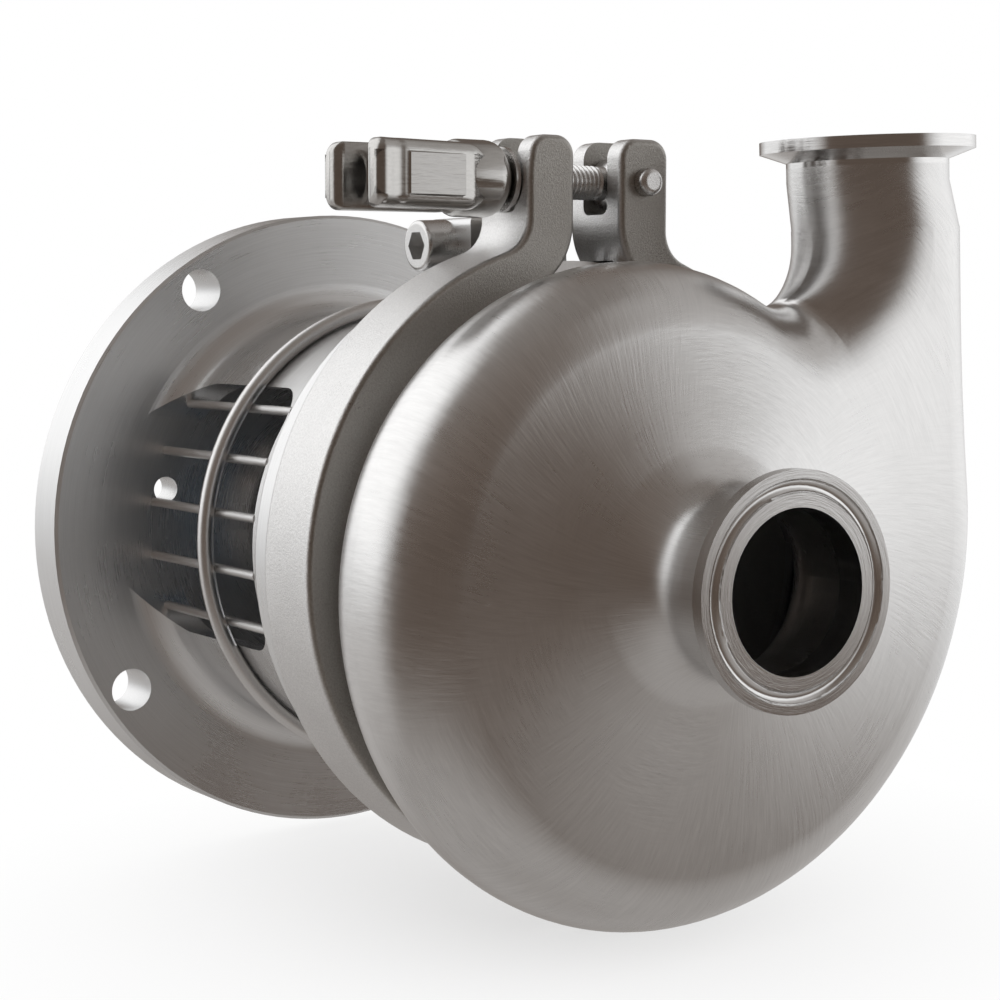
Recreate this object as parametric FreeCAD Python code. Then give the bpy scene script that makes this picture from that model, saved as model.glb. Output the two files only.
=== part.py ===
import FreeCAD, Part
import math
import os

# Sanitary centrifugal pump head: volute casing, back plate, band clamp and motor adapter.
# Millimetres. The origin is the centre of the motor side of the adapter flange, on the shaft axis.
# +Y points to the motor, +Z up along the outlet, +X to the right as seen from the inlet.

V = FreeCAD.Vector
X_AXIS = V(1, 0, 0)
Y_AXIS = V(0, 1, 0)
Z_AXIS = V(0, 0, 1)
ORIGIN = V(0, 0, 0)

# Clearances
GAP = 0.3                   # between pieces that move past each other
SEAT_GAP = 0.05             # between pieces that are fastened together
RUN_FIT = 0.08              # radial, of pins and threads that turn
WELD_SINK = 0.35            # how far the guard's bars sink into its hoop

# Tube ends, for clamped 1.5 inch sanitary pipe
FERRULE_R = 25.25
FERRULE_RIM = 2.85
FERRULE_BEVEL_DEG = 20.0
NECK_R = 19.05
PORT_BORE_R = 17.4
GROOVE_MID_R = 21.8
GROOVE_R = 1.55
GROOVE_SINK = 0.35          # height of the groove's centre above the ferrule's face

# Casing
INLET_FACE_Y = -203.5
OUTLET_X = 70.8
NECK_X = 70.5               # axis of the outlet's neck, a little off the scroll's own stub
NECK_Y = -149.5
OUTLET_FACE_Z = 94.6
CASING_WALL = 2.5
SCROLL_TOP = 68.0           # height of the scroll above the shaft axis
SCROLL_STEP = 7.0           # rise in radius at each quarter
SCROLL_MID_Y = -151.5
SCROLL_HALF_DEPTH = 19.6
SCROLL_FLAT = 0.2           # half the flat left between the two roundings of the stub
NECK_LEAN_DEG = 4.0         # where the scroll's side turns towards the neck
NECK_LEAN_R = 600.0
SADDLE_R = 14.0             # hollow between the scroll and the outlet neck
STUB_RISE = 3.0             # straight stub above the hollow
NECK_CONE = 11.0            # height over which the stub turns into the neck
BORE_CONE = 7.0             # height over which the bore widens inside the stub
BORE_TAPER = 1.4            # how much narrower the outlet's bore starts, inside the scroll
CROWN_STEP = 6.0            # from the scroll's top in to where the front starts to rise
CROWN_SLOPE_DEG = 12.0      # the front's slope at the root of the inlet neck
FLARE_R = 15.0              # hollow at the root of the inlet neck

# Clamped joint between casing and back plate
JOINT_R = 68.5
JOINT_RIM = 3.0
HUB_STEP = 6.0              # from the rim in to the casing's hub
OPEN_STEP = 8.5             # from the rim in to the casing's opening
SPIGOT_STEP = 8.0           # from the rim in to the back plate's spigot
JOINT_BEVEL_DEG = 20.0
GASKET_THICK = 1.6
GASKET_LIP = 2.0            # how far the gasket's face stays inside the rim

# Band clamp
LIP_STEP = 5.0              # from the joint's rim in to the clamp's lips
GROOVE_CLEARANCE = 1.1      # between the joint's rim and the groove's floor
CLAMP_WALL = 3.9            # behind the groove
CLAMP_WIDTH = 20.4
CLAMP_MID_Y = -120.25
CLAMP_TURN_DEG = 2.3        # clockwise as seen from the inlet
CLAMP_EDGE_R = 1.4
LUG_RISE = 23.0             # of the lugs above the ring
LUG_CORNER_R = 4.5
LUG_ROOT_R = 8.0
LUG_GAP = 12.9              # between the two lugs
LUG_MID_X = 2.35            # middle of that gap, right of the clamp's middle plane
LEFT_LUG_THICK = 12.6
RIGHT_LUG_THICK = 13.7
LUG_RELIEF_R = 16.0         # rounding of each half's end below its lug
LUG_RELIEF_DROP = 19.5      # of the rounding's top below the lugs' tops
LUG_RELIEF_DEG = 60.0
SLOT_WIDTH = 9.4
SLOT_CORNER_R = 2.0
SLOT_DEPTH = 7.3            # of the slot's floor below the bolt's axis
BOLT_DROP = 9.9             # of the bolt's axis below the lugs' tops

# Clamp hinge, at the bottom
HINGE_OUT = 6.8             # of the hinge's axis below the ring
KNUCKLE_R = 6.0
KNUCKLE_WIDTH = 7.0         # the right half's middle knuckle
HINGE_PIN_R = 3.0
HINGE_PIN_END = 1.0
PIN_DOME = 0.45             # rounding of pin ends, as a share of their radius
HINGE_GAP = 2.0             # between the ends of the two halves
GUSSET_DEG = 16.0           # reach of each knuckle's root round the ring

# Swing bolt and wing nut
BOLT_R = 4.0
SHANK_R = 3.9
EYE_R = 6.2
EYE_THICK = 8.0
EYE_EDGE = 0.8
THREAD_EDGE = 1.0
BOLT_PIN_R = 3.2
BOLT_PIN_X = 15.7           # right of the clamp's middle plane
BOLT_PIN_HEAD = 3.2
BOLT_LENGTH = 58.0          # eye centre to bolt end
THREAD_LENGTH = 46.0
WASHER_R = 7.4
WASHER_THICK = 1.2
NUT_R = 8.7
NUT_LENGTH = 31.0
NUT_THREAD_LENGTH = 14.0
NUT_RELIEF_R = 5.4
NUT_NOSE_R = 4.0
WING_START = 10.0           # from the nut's seat
WING_END = 38.7
WING_SPREAD = 12.8          # wing tip, from the bolt's axis
WING_THICK = 3.9
WING_HEIGHT = 15.0
WING_TIP_R = 1.8
WING_EDGE_R = 1.2
WING_SINK = 1.7             # the tail's radius is this much under the barrel's
NUT_GAP = 0.1               # between faces that turn on each other

# Motor adapter
FLANGE_R = 82.55
FLANGE_THICK = 14.5
FLANGE_EDGE = 0.8
FLANGE_OPEN_R = 18.0
REGISTER_EDGE = 25.35       # from the flange's rim in to the register
REGISTER_DEPTH = 5.0
BOLT_EDGE = 7.95            # from the flange's rim in to the bolt circle
FLANGE_BOLTS = 4
FLANGE_HOLE_R = 5.5
FLANGE_TURN_DEG = -13.8
DRAIN_HOLE_R = 3.3
DRAIN_HOLE_AT = 53.0
BODY_WALL = 6.3
BODY_STEP = 10.5            # from the back plate's spigot in to the body's bore
FLANGE_ROOT_R = 8.0
RING_WALL = 6.5
RING_FRONT_Y = -106.5
RING_WIDTH = 13.8
RING_EDGE_R = 1.5
RING_ROOT_R = 5.0
WINDOW_MID_DEG = 170.0
WINDOW_SPAN_DEG = 70.0
WINDOW_CORNER_R = 10.0
WINDOW_MARGIN = 21.0        # solid collar left behind the split ring
SPIGOT_DEPTH = 9.5          # of the back plate's spigot in the split ring
EAR_SPAN = 27.0
EAR_RISE = 12.3             # of the ears above the split ring
EAR_LENGTH = 19.5
EAR_EDGE_R = 1.8
SPLIT_WIDTH = 3.0
SPLIT_RUN_OUT = 2.5

# Pinch screw of the adapter's split ring
PINCH_R = 3.97
PINCH_HEAD_R = 5.95
PINCH_HEAD = 7.9
PINCH_SOCKET = 6.35
PINCH_SOCKET_DEPTH = 4.0
PINCH_EDGE = 0.9
PINCH_DROP = 6.2            # of the pinch screw's axis below the ears' tops
PINCH_FROM_FRONT = 11.5     # from the front of the ears

# Window guard
BAR_R = 1.15
BAR_PITCH_DEG = 14.2
BARS_PER_WINDOW = 5
HOOP_ROD_R = 2.0
HOOP_Y = -50.5

# Back plate
PLATE_FRONT_Y = -136.0
PLATE_THICK = 4.0
PLATE_CLEARANCE = 0.6       # round the plate's drum, in the casing's opening
PLATE_WALL = 3.0
PLATE_CORNER_R = 4.0
SEAL_HUB_R = 20.0
SEAL_HUB_DEPTH = 8.0
PLATE_BORE_R = 11.4

# Shaft line
SHAFT_R = 9.5
SLEEVE_R = 14.0
MOTOR_SHAFT_R = 7.95        # bore for a 5/8 inch motor shaft
SLEEVE_REAR_Y = -12.0
SLEEVE_FRONT_Y = -86.0
MOTOR_BORE_DEPTH = 46.0
SLEEVE_SLIT = 1.6
SLEEVE_SLIT_LENGTH = 34.0
SPINDLE_R = 7.0             # seat of the impeller
SPINDLE_LENGTH = 20.0
THREAD_TIP_R = 4.0
THREAD_TIP_LENGTH = 9.0
KEY_WIDTH = 3.0
KEY_LENGTH = 12.0

# Impeller
IMPELLER_R = 50.8
IMPELLER_BACK_GAP = 1.5
SHROUD_THICK = 3.0
VANE_HEIGHT = 17.0
VANE_THICK = 3.0
VANES = 4
VANE_SWEEP_DEG = 95.0
HUB_R = 12.0
HUB_LENGTH = 19.0
NUT_CAP_R = 10.0
NUT_CAP_LENGTH = 11.0
NUT_CAP_RIM = 4.0
CAP_RING_R = 0.9

# Seal and collar
CARBON_R = 17.0
CARBON_LENGTH = 8.0
CARBON_NOSE_R = 14.5
CARBON_NOSE = 2.0
CUP_R = 18.6
CUP_LENGTH = 9.0
CUP_WALL = 1.2
SEAL_RING_R = 1.5
SPRING_WIRE_R = 0.9
SPRING_TURNS = 4
COLLAR_R = 26.0
COLLAR_WIDTH = 14.0
COLLAR_FROM_REAR = 6.0
COLLAR_SCREW_R = 3.0
COLLAR_SCREW_HEAD_R = 4.8
COLLAR_SCREW_HEAD = 5.5
COLLAR_SCREW_AT = 20.0
COLLAR_SEAT_Z = 8.0
COLLAR_SCREW_LENGTH = 20.0
COLLAR_SPLIT = 1.6
DEFLECTOR_R = 24.0
DEFLECTOR_THICK = 3.0
DEFLECTOR_HUB = 4.0

# Worked out from the sizes above
FERRULE_HEIGHT = FERRULE_RIM + (FERRULE_R - NECK_R) * math.tan(math.radians(FERRULE_BEVEL_DEG))
CASING_FRONT_Y = SCROLL_MID_Y - SCROLL_HALF_DEPTH
CASING_REAR_Y = SCROLL_MID_Y + SCROLL_HALF_DEPTH
NECK_TOP_Z = OUTLET_FACE_Z - FERRULE_HEIGHT
CLAMP_FRONT_Y = CLAMP_MID_Y - CLAMP_WIDTH / 2
CLAMP_REAR_Y = CLAMP_MID_Y + CLAMP_WIDTH / 2
CASING_JOINT_Y = CLAMP_MID_Y - GASKET_THICK / 2
PLATE_JOINT_Y = CLAMP_MID_Y + GASKET_THICK / 2
CROWN_R = SCROLL_TOP - CROWN_STEP
BOLT_CIRCLE_R = FLANGE_R - BOLT_EDGE
REGISTER_R = FLANGE_R - REGISTER_EDGE
CASING_HUB_R = JOINT_R - HUB_STEP
CASING_OPEN_R = JOINT_R - OPEN_STEP
SPIGOT_R = JOINT_R - SPIGOT_STEP
CLAMP_LIP_R = JOINT_R - LIP_STEP
CLAMP_GROOVE_R = JOINT_R + GROOVE_CLEARANCE
CLAMP_R = CLAMP_GROOVE_R + CLAMP_WALL
LUG_TOP = CLAMP_R + LUG_RISE
LUG_RELIEF_TOP = LUG_TOP - LUG_RELIEF_DROP
BOLT_HEIGHT = LUG_TOP - BOLT_DROP
SLOT_FLOOR = BOLT_HEIGHT - SLOT_DEPTH
HINGE_DROP = CLAMP_R + HINGE_OUT
LEFT_LUG_FACE = LUG_MID_X - LUG_GAP / 2 - LEFT_LUG_THICK
SEAT_X = LEFT_LUG_FACE - GAP
RING_REAR_Y = RING_FRONT_Y + RING_WIDTH
RING_R = SPIGOT_R + RING_WALL
BODY_BORE_R = SPIGOT_R - BODY_STEP
BODY_R = BODY_BORE_R + BODY_WALL
EAR_TOP = RING_R + EAR_RISE
PINCH_Z = EAR_TOP - PINCH_DROP
FLANGE_FRONT_Y = -FLANGE_THICK
WINDOW_FRONT_Y = RING_REAR_Y + WINDOW_MARGIN
EAR_FRONT_Y = RING_FRONT_Y + 0.5
PINCH_Y = EAR_FRONT_Y + PINCH_FROM_FRONT
HOOP_R = BODY_R + SEAT_GAP + HOOP_ROD_R
BAR_AT_R = HOOP_R - HOOP_ROD_R - BAR_R + WELD_SINK
SHOULDER_Y = RING_FRONT_Y + SPIGOT_DEPTH
SEAL_FACE_Y = PLATE_FRONT_Y + PLATE_THICK + SEAL_HUB_DEPTH
SHROUD_BACK_Y = PLATE_FRONT_Y - IMPELLER_BACK_GAP
COLLAR_REAR_Y = SLEEVE_REAR_Y - COLLAR_FROM_REAR
COLLAR_FRONT_Y = COLLAR_REAR_Y - COLLAR_WIDTH


def flat(r, y):
    """A point of a turned profile: radius and place along the shaft."""
    return V(r, y, 0)


def closed_wire(start, *steps):
    """Closed wire from a start point. A step is an end point, or (mid, end) for an arc."""
    edges = []
    here = start
    for step in steps:
        if isinstance(step, tuple):
            mid, end = step
            edges.append(Part.Arc(here, mid, end).toShape())
        else:
            end = step
            edges.append(Part.makeLine(here, end))
        here = end
    if (here - start).Length > 1e-6:
        edges.append(Part.makeLine(here, start))
    return Part.Wire(edges)


def turned(start, *steps):
    """Solid of revolution about the shaft axis from a profile in the XY plane."""
    return Part.Face(closed_wire(start, *steps)).revolve(ORIGIN, Y_AXIS, 360)


def tube(r_in, r_out, y0, y1):
    """Hollow cylinder round the shaft axis."""
    outer = Part.makeCylinder(r_out, y1 - y0, V(0, y0, 0), Y_AXIS)
    if r_in <= 0:
        return outer
    return outer.cut(Part.makeCylinder(r_in, y1 - y0, V(0, y0, 0), Y_AXIS))


def block(x0, x1, y0, y1, z0, z1):
    return Part.makeBox(x1 - x0, y1 - y0, z1 - z0, V(x0, y0, z0))


def round_edges(shape, radius, chosen):
    """Fillet the edges for which chosen(edge) is true."""
    edges = [edge for edge in shape.Edges if chosen(edge)]
    return shape.makeFillet(radius, edges)


def in_plane_y(edge, y):
    box = edge.BoundBox
    return abs(box.YMin - y) < 1e-4 and abs(box.YMax - y) < 1e-4


def along_y(edge):
    box = edge.BoundBox
    return box.XLength < 1e-4 and box.ZLength < 1e-4


def clamp_frame(shape):
    """Turn a piece from the clamp's own upright frame to where the clamp sits."""
    turned_shape = shape.copy()
    turned_shape.rotate(ORIGIN, Y_AXIS, CLAMP_TURN_DEG)
    return turned_shape


def hexagon_prism(across_flats, length, base, direction):
    """Hexagonal prism along X, from base."""
    radius = across_flats / math.sqrt(3)
    corners = [V(0, radius * math.cos(k * math.pi / 3), radius * math.sin(k * math.pi / 3)) + base
               for k in range(7)]
    return Part.Face(Part.makePolygon(corners)).extrude(direction * length)


def ferrule(bore_r):
    """Clamp ferrule with its face at the origin, looking along +Z, and its neck below."""
    bevel = FERRULE_HEIGHT - FERRULE_RIM
    profile = closed_wire(V(bore_r, 0, 0), V(FERRULE_R, 0, 0), V(FERRULE_R, 0, -FERRULE_RIM),
                          V(NECK_R, 0, -FERRULE_RIM - bevel), V(bore_r, 0, -FERRULE_RIM - bevel))
    body = Part.Face(profile).revolve(ORIGIN, Z_AXIS, 360)
    groove = Part.makeTorus(GROOVE_MID_R, GROOVE_R, V(0, 0, GROOVE_SINK), Z_AXIS)
    return body.cut(groove)


def arc(centre, radius, start_deg, end_deg):
    """Arc in the XZ plane, from one direction to another as seen from +X towards +Z."""
    def at(angle_deg):
        angle = math.radians(angle_deg)
        return centre + V(radius * math.cos(angle), 0, radius * math.sin(angle))
    return Part.Arc(at(start_deg), at((start_deg + end_deg) / 2), at(end_deg)).toShape()


def volute(inset, neck_r):
    """Scroll, inlet neck and outlet stub, rounded front and back. Each quarter of the scroll is an
    arc whose centre steps round a small square. The inset gives the inner wall."""
    half = SCROLL_STEP / 2
    top_r = SCROLL_TOP - half - inset
    right_x = OUTLET_X + SCROLL_HALF_DEPTH - inset
    left_x = OUTLET_X - SCROLL_HALF_DEPTH + inset
    lean = math.radians(NECK_LEAN_DEG)
    lean_r = NECK_LEAN_R + inset
    side_r = (right_x + lean_r * (1 - math.cos(lean)) - half) / math.cos(lean)
    last_step = side_r - (top_r + 2 * SCROLL_STEP)
    top_centre = V(-half, 0, half)
    side_centre = V(half, 0, last_step - half)
    scroll = [arc(V(-half, 0, -half), top_r + SCROLL_STEP, 90, 180),
              arc(V(half, 0, -half), top_r + 2 * SCROLL_STEP, 180, 270),
              arc(side_centre, side_r, 270, 360 + NECK_LEAN_DEG)]
    lean_centre = side_centre + V(math.cos(lean), 0, math.sin(lean)) * (side_r + lean_r)
    scroll.append(arc(lean_centre, lean_r, 180 + NECK_LEAN_DEG, 180))
    hollow_r = SADDLE_R + inset
    hollow_x = left_x - hollow_r
    across = hollow_x - top_centre.x
    rise = math.sqrt((top_r + hollow_r) ** 2 - across ** 2)
    hollow_centre = V(hollow_x, 0, top_centre.z + rise)
    start_deg = math.degrees(math.atan2(rise, across))
    stub_top = hollow_centre.z + STUB_RISE
    right_start = V(right_x, 0, lean_centre.z)
    outline = [arc(top_centre, top_r, start_deg, 90)] + scroll
    outline += [Part.makeLine(right_start, V(right_x, 0, stub_top)),
                Part.makeLine(V(right_x, 0, stub_top), V(left_x, 0, stub_top)),
                Part.makeLine(V(left_x, 0, stub_top), V(left_x, 0, hollow_centre.z)),
                arc(hollow_centre, hollow_r, 360, start_deg + 180)]
    face = Part.Face(Part.Wire(outline))
    front_y = SCROLL_MID_Y - SCROLL_HALF_DEPTH + inset
    rear_y = SCROLL_MID_Y + SCROLL_HALF_DEPTH - inset
    face.translate(V(0, front_y, 0))
    body = face.extrude(V(0, rear_y - front_y, 0)).fuse(crown(inset, neck_r)).removeSplitter()

    def rim(edge):
        lies_flat = in_plane_y(edge, front_y) or in_plane_y(edge, rear_y)
        on_crown = isinstance(edge.Curve, Part.Circle) and math.hypot(edge.Curve.Center.x, edge.Curve.Center.z) < 1e-3
        return lies_flat and not on_crown and edge.BoundBox.ZMin < stub_top - 0.01
    return round_edges(body, SCROLL_HALF_DEPTH - inset - SCROLL_FLAT, rim)


def between_circles(r_low, low, r_high, high):
    """Upright solid whose round section shifts from one centre and radius to another."""
    rings = [Part.Wire(Part.makeCircle(r_low, low, Z_AXIS)), Part.Wire(Part.makeCircle(r_high, high, Z_AXIS))]
    return Part.makeLoft(rings, True, True)


def stub_top_z():
    """Height at which the scroll's own outlet stub ends and the neck's cone starts."""
    reach = SCROLL_TOP - SCROLL_STEP / 2 + SADDLE_R
    across = OUTLET_X - SCROLL_HALF_DEPTH - SADDLE_R + SCROLL_STEP / 2
    return SCROLL_STEP / 2 + math.sqrt(reach ** 2 - across ** 2) + STUB_RISE


def crown(inset, neck_r):
    """Flared root of the inlet neck on the casing's front: a wide hollow that runs into a
    tighter one. The inset gives the inner wall."""
    flare_centre_r = NECK_R + FLARE_R
    wide_r = (CROWN_R - flare_centre_r) / math.sin(math.radians(CROWN_SLOPE_DEG)) + FLARE_R
    wide_centre_y = CASING_FRONT_Y - wide_r
    wide_r += inset
    tight_r = flare_centre_r - neck_r
    slope = math.asin((CROWN_R - flare_centre_r) / (wide_r - tight_r))
    tight_centre_y = wide_centre_y + (wide_r - tight_r) * math.cos(slope)

    def on_tight(turn):
        return flat(flare_centre_r - tight_r * math.cos(turn), tight_centre_y + tight_r * math.sin(turn))

    def on_wide(turn):
        return flat(CROWN_R - wide_r * math.sin(turn), wide_centre_y + wide_r * math.cos(turn))
    turn_end = math.pi / 2 - slope
    back_y = CASING_FRONT_Y + inset + 2 * CASING_WALL
    return turned(flat(0, INLET_FACE_Y), flat(neck_r, INLET_FACE_Y),
                  on_tight(0), (on_tight(turn_end / 2), on_tight(turn_end)),
                  (on_wide(slope / 2), on_wide(0)),
                  flat(CROWN_R, back_y), flat(0, back_y))


def joint_flank(r, gap=0.0):
    """Half the width of the clamped joint's bevelled rim at a radius, from the joint's face."""
    slope = math.tan(math.radians(JOINT_BEVEL_DEG))
    return JOINT_RIM + (JOINT_R - r) * slope + gap / math.cos(math.radians(JOINT_BEVEL_DEG))


def casing():
    """Volute with inlet and outlet ferrules and the bevelled rim of the clamped joint."""
    rim_front = CASING_JOINT_Y - JOINT_RIM
    hub_start = CASING_JOINT_Y - joint_flank(CASING_HUB_R)
    hub = turned(flat(0, SCROLL_MID_Y), flat(CASING_HUB_R, SCROLL_MID_Y), flat(CASING_HUB_R, hub_start),
                 flat(JOINT_R, rim_front), flat(JOINT_R, CASING_JOINT_Y), flat(0, CASING_JOINT_Y))
    stub_z = stub_top_z()
    cone_top = stub_z + NECK_CONE
    outlet = V(OUTLET_X, SCROLL_MID_Y, 0)
    neck_axis = V(NECK_X, NECK_Y, 0)
    stub_start, stub_end = outlet + V(0, 0, stub_z), neck_axis + V(0, 0, cone_top)
    neck = between_circles(SCROLL_HALF_DEPTH, stub_start, NECK_R, stub_end)
    neck = neck.fuse(Part.makeCylinder(NECK_R, NECK_TOP_Z - cone_top, stub_end))
    outlet_ferrule = ferrule(PORT_BORE_R)
    outlet_ferrule.translate(neck_axis + V(0, 0, OUTLET_FACE_Z))
    inlet_ferrule = ferrule(PORT_BORE_R)
    inlet_ferrule.rotate(ORIGIN, X_AXIS, 90)
    inlet_ferrule.translate(V(0, INLET_FACE_Y, 0))
    skin = volute(0, NECK_R).fuse([hub, neck])
    cavity = volute(CASING_WALL, PORT_BORE_R).fuse([
        Part.makeCone(PORT_BORE_R - BORE_TAPER, PORT_BORE_R, BORE_CONE, outlet + V(0, 0, stub_z - BORE_CONE)),
        between_circles(PORT_BORE_R, stub_start, PORT_BORE_R, stub_end),
        Part.makeCylinder(PORT_BORE_R, OUTLET_FACE_Z - cone_top, stub_end),
        Part.makeCylinder(CASING_OPEN_R, CASING_JOINT_Y - SCROLL_MID_Y, V(0, SCROLL_MID_Y, 0), Y_AXIS)])
    return skin.cut(cavity).fuse([outlet_ferrule, inlet_ferrule]).removeSplitter()


def casing_gasket():
    return tube(CASING_OPEN_R, JOINT_R - GASKET_LIP, CASING_JOINT_Y, PLATE_JOINT_Y)


def backplate():
    """Dished plate: front disc in the casing, bevelled rim, spigot for the adapter, seal hub."""
    drum_r = CASING_OPEN_R - PLATE_CLEARANCE
    inner_r = drum_r - PLATE_WALL
    hollow_y = PLATE_FRONT_Y + PLATE_THICK
    corner = PLATE_CORNER_R
    lift = corner * (1 - math.sqrt(0.5))
    rim_rear = PLATE_JOINT_Y + JOINT_RIM
    return turned(flat(PLATE_BORE_R, PLATE_FRONT_Y), flat(drum_r - corner, PLATE_FRONT_Y),
                  (flat(drum_r - lift, PLATE_FRONT_Y + lift), flat(drum_r, PLATE_FRONT_Y + corner)),
                  flat(drum_r, PLATE_JOINT_Y), flat(JOINT_R, PLATE_JOINT_Y), flat(JOINT_R, rim_rear),
                  flat(SPIGOT_R, PLATE_JOINT_Y + joint_flank(SPIGOT_R)), flat(SPIGOT_R, SHOULDER_Y),
                  flat(inner_r, SHOULDER_Y), flat(inner_r, hollow_y), flat(SEAL_HUB_R, hollow_y),
                  flat(SEAL_HUB_R, SEAL_FACE_Y), flat(PLATE_BORE_R, SEAL_FACE_Y))


def window_cutter(middle_deg):
    """Rounded opening through the adapter's body, up to the flange's face."""
    half = BODY_R * math.sin(math.radians(WINDOW_SPAN_DEG / 2))
    cutter = block(BODY_BORE_R / 2, FLANGE_R, WINDOW_FRONT_Y, FLANGE_FRONT_Y, -half, half)
    cutter = round_edges(cutter, WINDOW_CORNER_R,
                         lambda edge: edge.BoundBox.YLength < 1e-4 and edge.BoundBox.ZLength < 1e-4)
    cutter.rotate(ORIGIN, Y_AXIS, -middle_deg)
    return cutter


def adapter():
    """Motor flange, windowed body and split ring with the ears of its pinch screw."""
    edge, root, neck_root = RING_EDGE_R, FLANGE_ROOT_R, RING_ROOT_R
    cut = math.sqrt(0.5)
    body = turned(
        flat(0, RING_FRONT_Y), flat(RING_R - edge, RING_FRONT_Y),
        (flat(RING_R - edge * (1 - cut), RING_FRONT_Y + edge * (1 - cut)), flat(RING_R, RING_FRONT_Y + edge)),
        flat(RING_R, RING_REAR_Y - edge),
        (flat(RING_R - edge * (1 - cut), RING_REAR_Y - edge * (1 - cut)), flat(RING_R - edge, RING_REAR_Y)),
        flat(BODY_R + neck_root, RING_REAR_Y),
        (flat(BODY_R + neck_root * (1 - cut), RING_REAR_Y + neck_root * (1 - cut)),
         flat(BODY_R, RING_REAR_Y + neck_root)),
        flat(BODY_R, FLANGE_FRONT_Y - root),
        (flat(BODY_R + root * (1 - cut), FLANGE_FRONT_Y - root * (1 - cut)), flat(BODY_R + root, FLANGE_FRONT_Y)),
        flat(FLANGE_R - FLANGE_EDGE, FLANGE_FRONT_Y), flat(FLANGE_R, FLANGE_FRONT_Y + FLANGE_EDGE),
        flat(FLANGE_R, -FLANGE_EDGE), flat(FLANGE_R - FLANGE_EDGE, 0), flat(0, 0))
    ears = block(-EAR_SPAN / 2, EAR_SPAN / 2, EAR_FRONT_Y, EAR_FRONT_Y + EAR_LENGTH, BODY_BORE_R, EAR_TOP)
    ears = round_edges(ears, EAR_EDGE_R, lambda e: e.BoundBox.ZMin > EAR_TOP - 1e-3)
    body = body.fuse(ears)
    spigot_bore = SPIGOT_R + SEAT_GAP
    tools = [Part.makeCylinder(spigot_bore, SHOULDER_Y - RING_FRONT_Y, V(0, RING_FRONT_Y, 0), Y_AXIS),
             Part.makeCylinder(BODY_BORE_R, FLANGE_FRONT_Y - SHOULDER_Y, V(0, SHOULDER_Y, 0), Y_AXIS),
             Part.makeCylinder(FLANGE_OPEN_R, FLANGE_THICK, V(0, FLANGE_FRONT_Y, 0), Y_AXIS),
             Part.makeCylinder(REGISTER_R, REGISTER_DEPTH, V(0, -REGISTER_DEPTH, 0), Y_AXIS),
             block(-SPLIT_WIDTH / 2, SPLIT_WIDTH / 2, RING_FRONT_Y, EAR_FRONT_Y + EAR_LENGTH + SPLIT_RUN_OUT,
                   BODY_BORE_R - SPLIT_WIDTH, EAR_TOP),
             Part.makeCylinder(PINCH_R + SEAT_GAP, EAR_SPAN, V(-EAR_SPAN / 2, PINCH_Y, PINCH_Z), X_AXIS),
             window_cutter(WINDOW_MID_DEG), window_cutter(WINDOW_MID_DEG + 180)]
    for k in range(FLANGE_BOLTS):
        angle = math.radians(FLANGE_TURN_DEG + 360 * (k + 0.5) / FLANGE_BOLTS)
        centre = V(BOLT_CIRCLE_R * math.cos(angle), FLANGE_FRONT_Y, BOLT_CIRCLE_R * math.sin(angle))
        tools.append(Part.makeCylinder(FLANGE_HOLE_R, FLANGE_THICK, centre, Y_AXIS))
    for side in (0, 180):
        angle = math.radians(FLANGE_TURN_DEG + side)
        centre = V(DRAIN_HOLE_AT * math.cos(angle), FLANGE_FRONT_Y, DRAIN_HOLE_AT * math.sin(angle))
        tools.append(Part.makeCylinder(DRAIN_HOLE_R, FLANGE_THICK, centre, Y_AXIS))
    return body.cut(tools)


def pinch_screw():
    """Socket head cap screw across the split ring's ears."""
    head_x = -EAR_SPAN / 2
    start = V(head_x - PINCH_HEAD, PINCH_Y, PINCH_Z)
    head = Part.makeCylinder(PINCH_HEAD_R, PINCH_HEAD, start, X_AXIS)
    head = round_edges(head, PINCH_EDGE, lambda e: e.BoundBox.XMax < start.x + 1e-3)
    shank = Part.makeCylinder(PINCH_R, EAR_SPAN - PINCH_EDGE, V(head_x, PINCH_Y, PINCH_Z), X_AXIS)
    socket = hexagon_prism(PINCH_SOCKET, PINCH_SOCKET_DEPTH, start, X_AXIS)
    return head.fuse(shank).cut(socket)


def guard_hoop():
    return Part.makeTorus(HOOP_R, HOOP_ROD_R, V(0, HOOP_Y, 0), Y_AXIS)


def guard_bars(adapter_body, hoop):
    """Bars along both windows, seated on the body's edges and notched where they meet the hoop."""
    bars = []
    for side in (0, 180):
        for k in range(BARS_PER_WINDOW):
            turn = WINDOW_MID_DEG + side + BAR_PITCH_DEG * (k - (BARS_PER_WINDOW - 1) / 2)
            angle = math.radians(turn)
            foot = V(BAR_AT_R * math.cos(angle), WINDOW_FRONT_Y, BAR_AT_R * math.sin(angle))
            bar = Part.makeCylinder(BAR_R, FLANGE_FRONT_Y - WINDOW_FRONT_Y, foot, Y_AXIS)
            bars.append(bar.cut([adapter_body, hoop]))
    return Part.makeCompound(bars)


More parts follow.
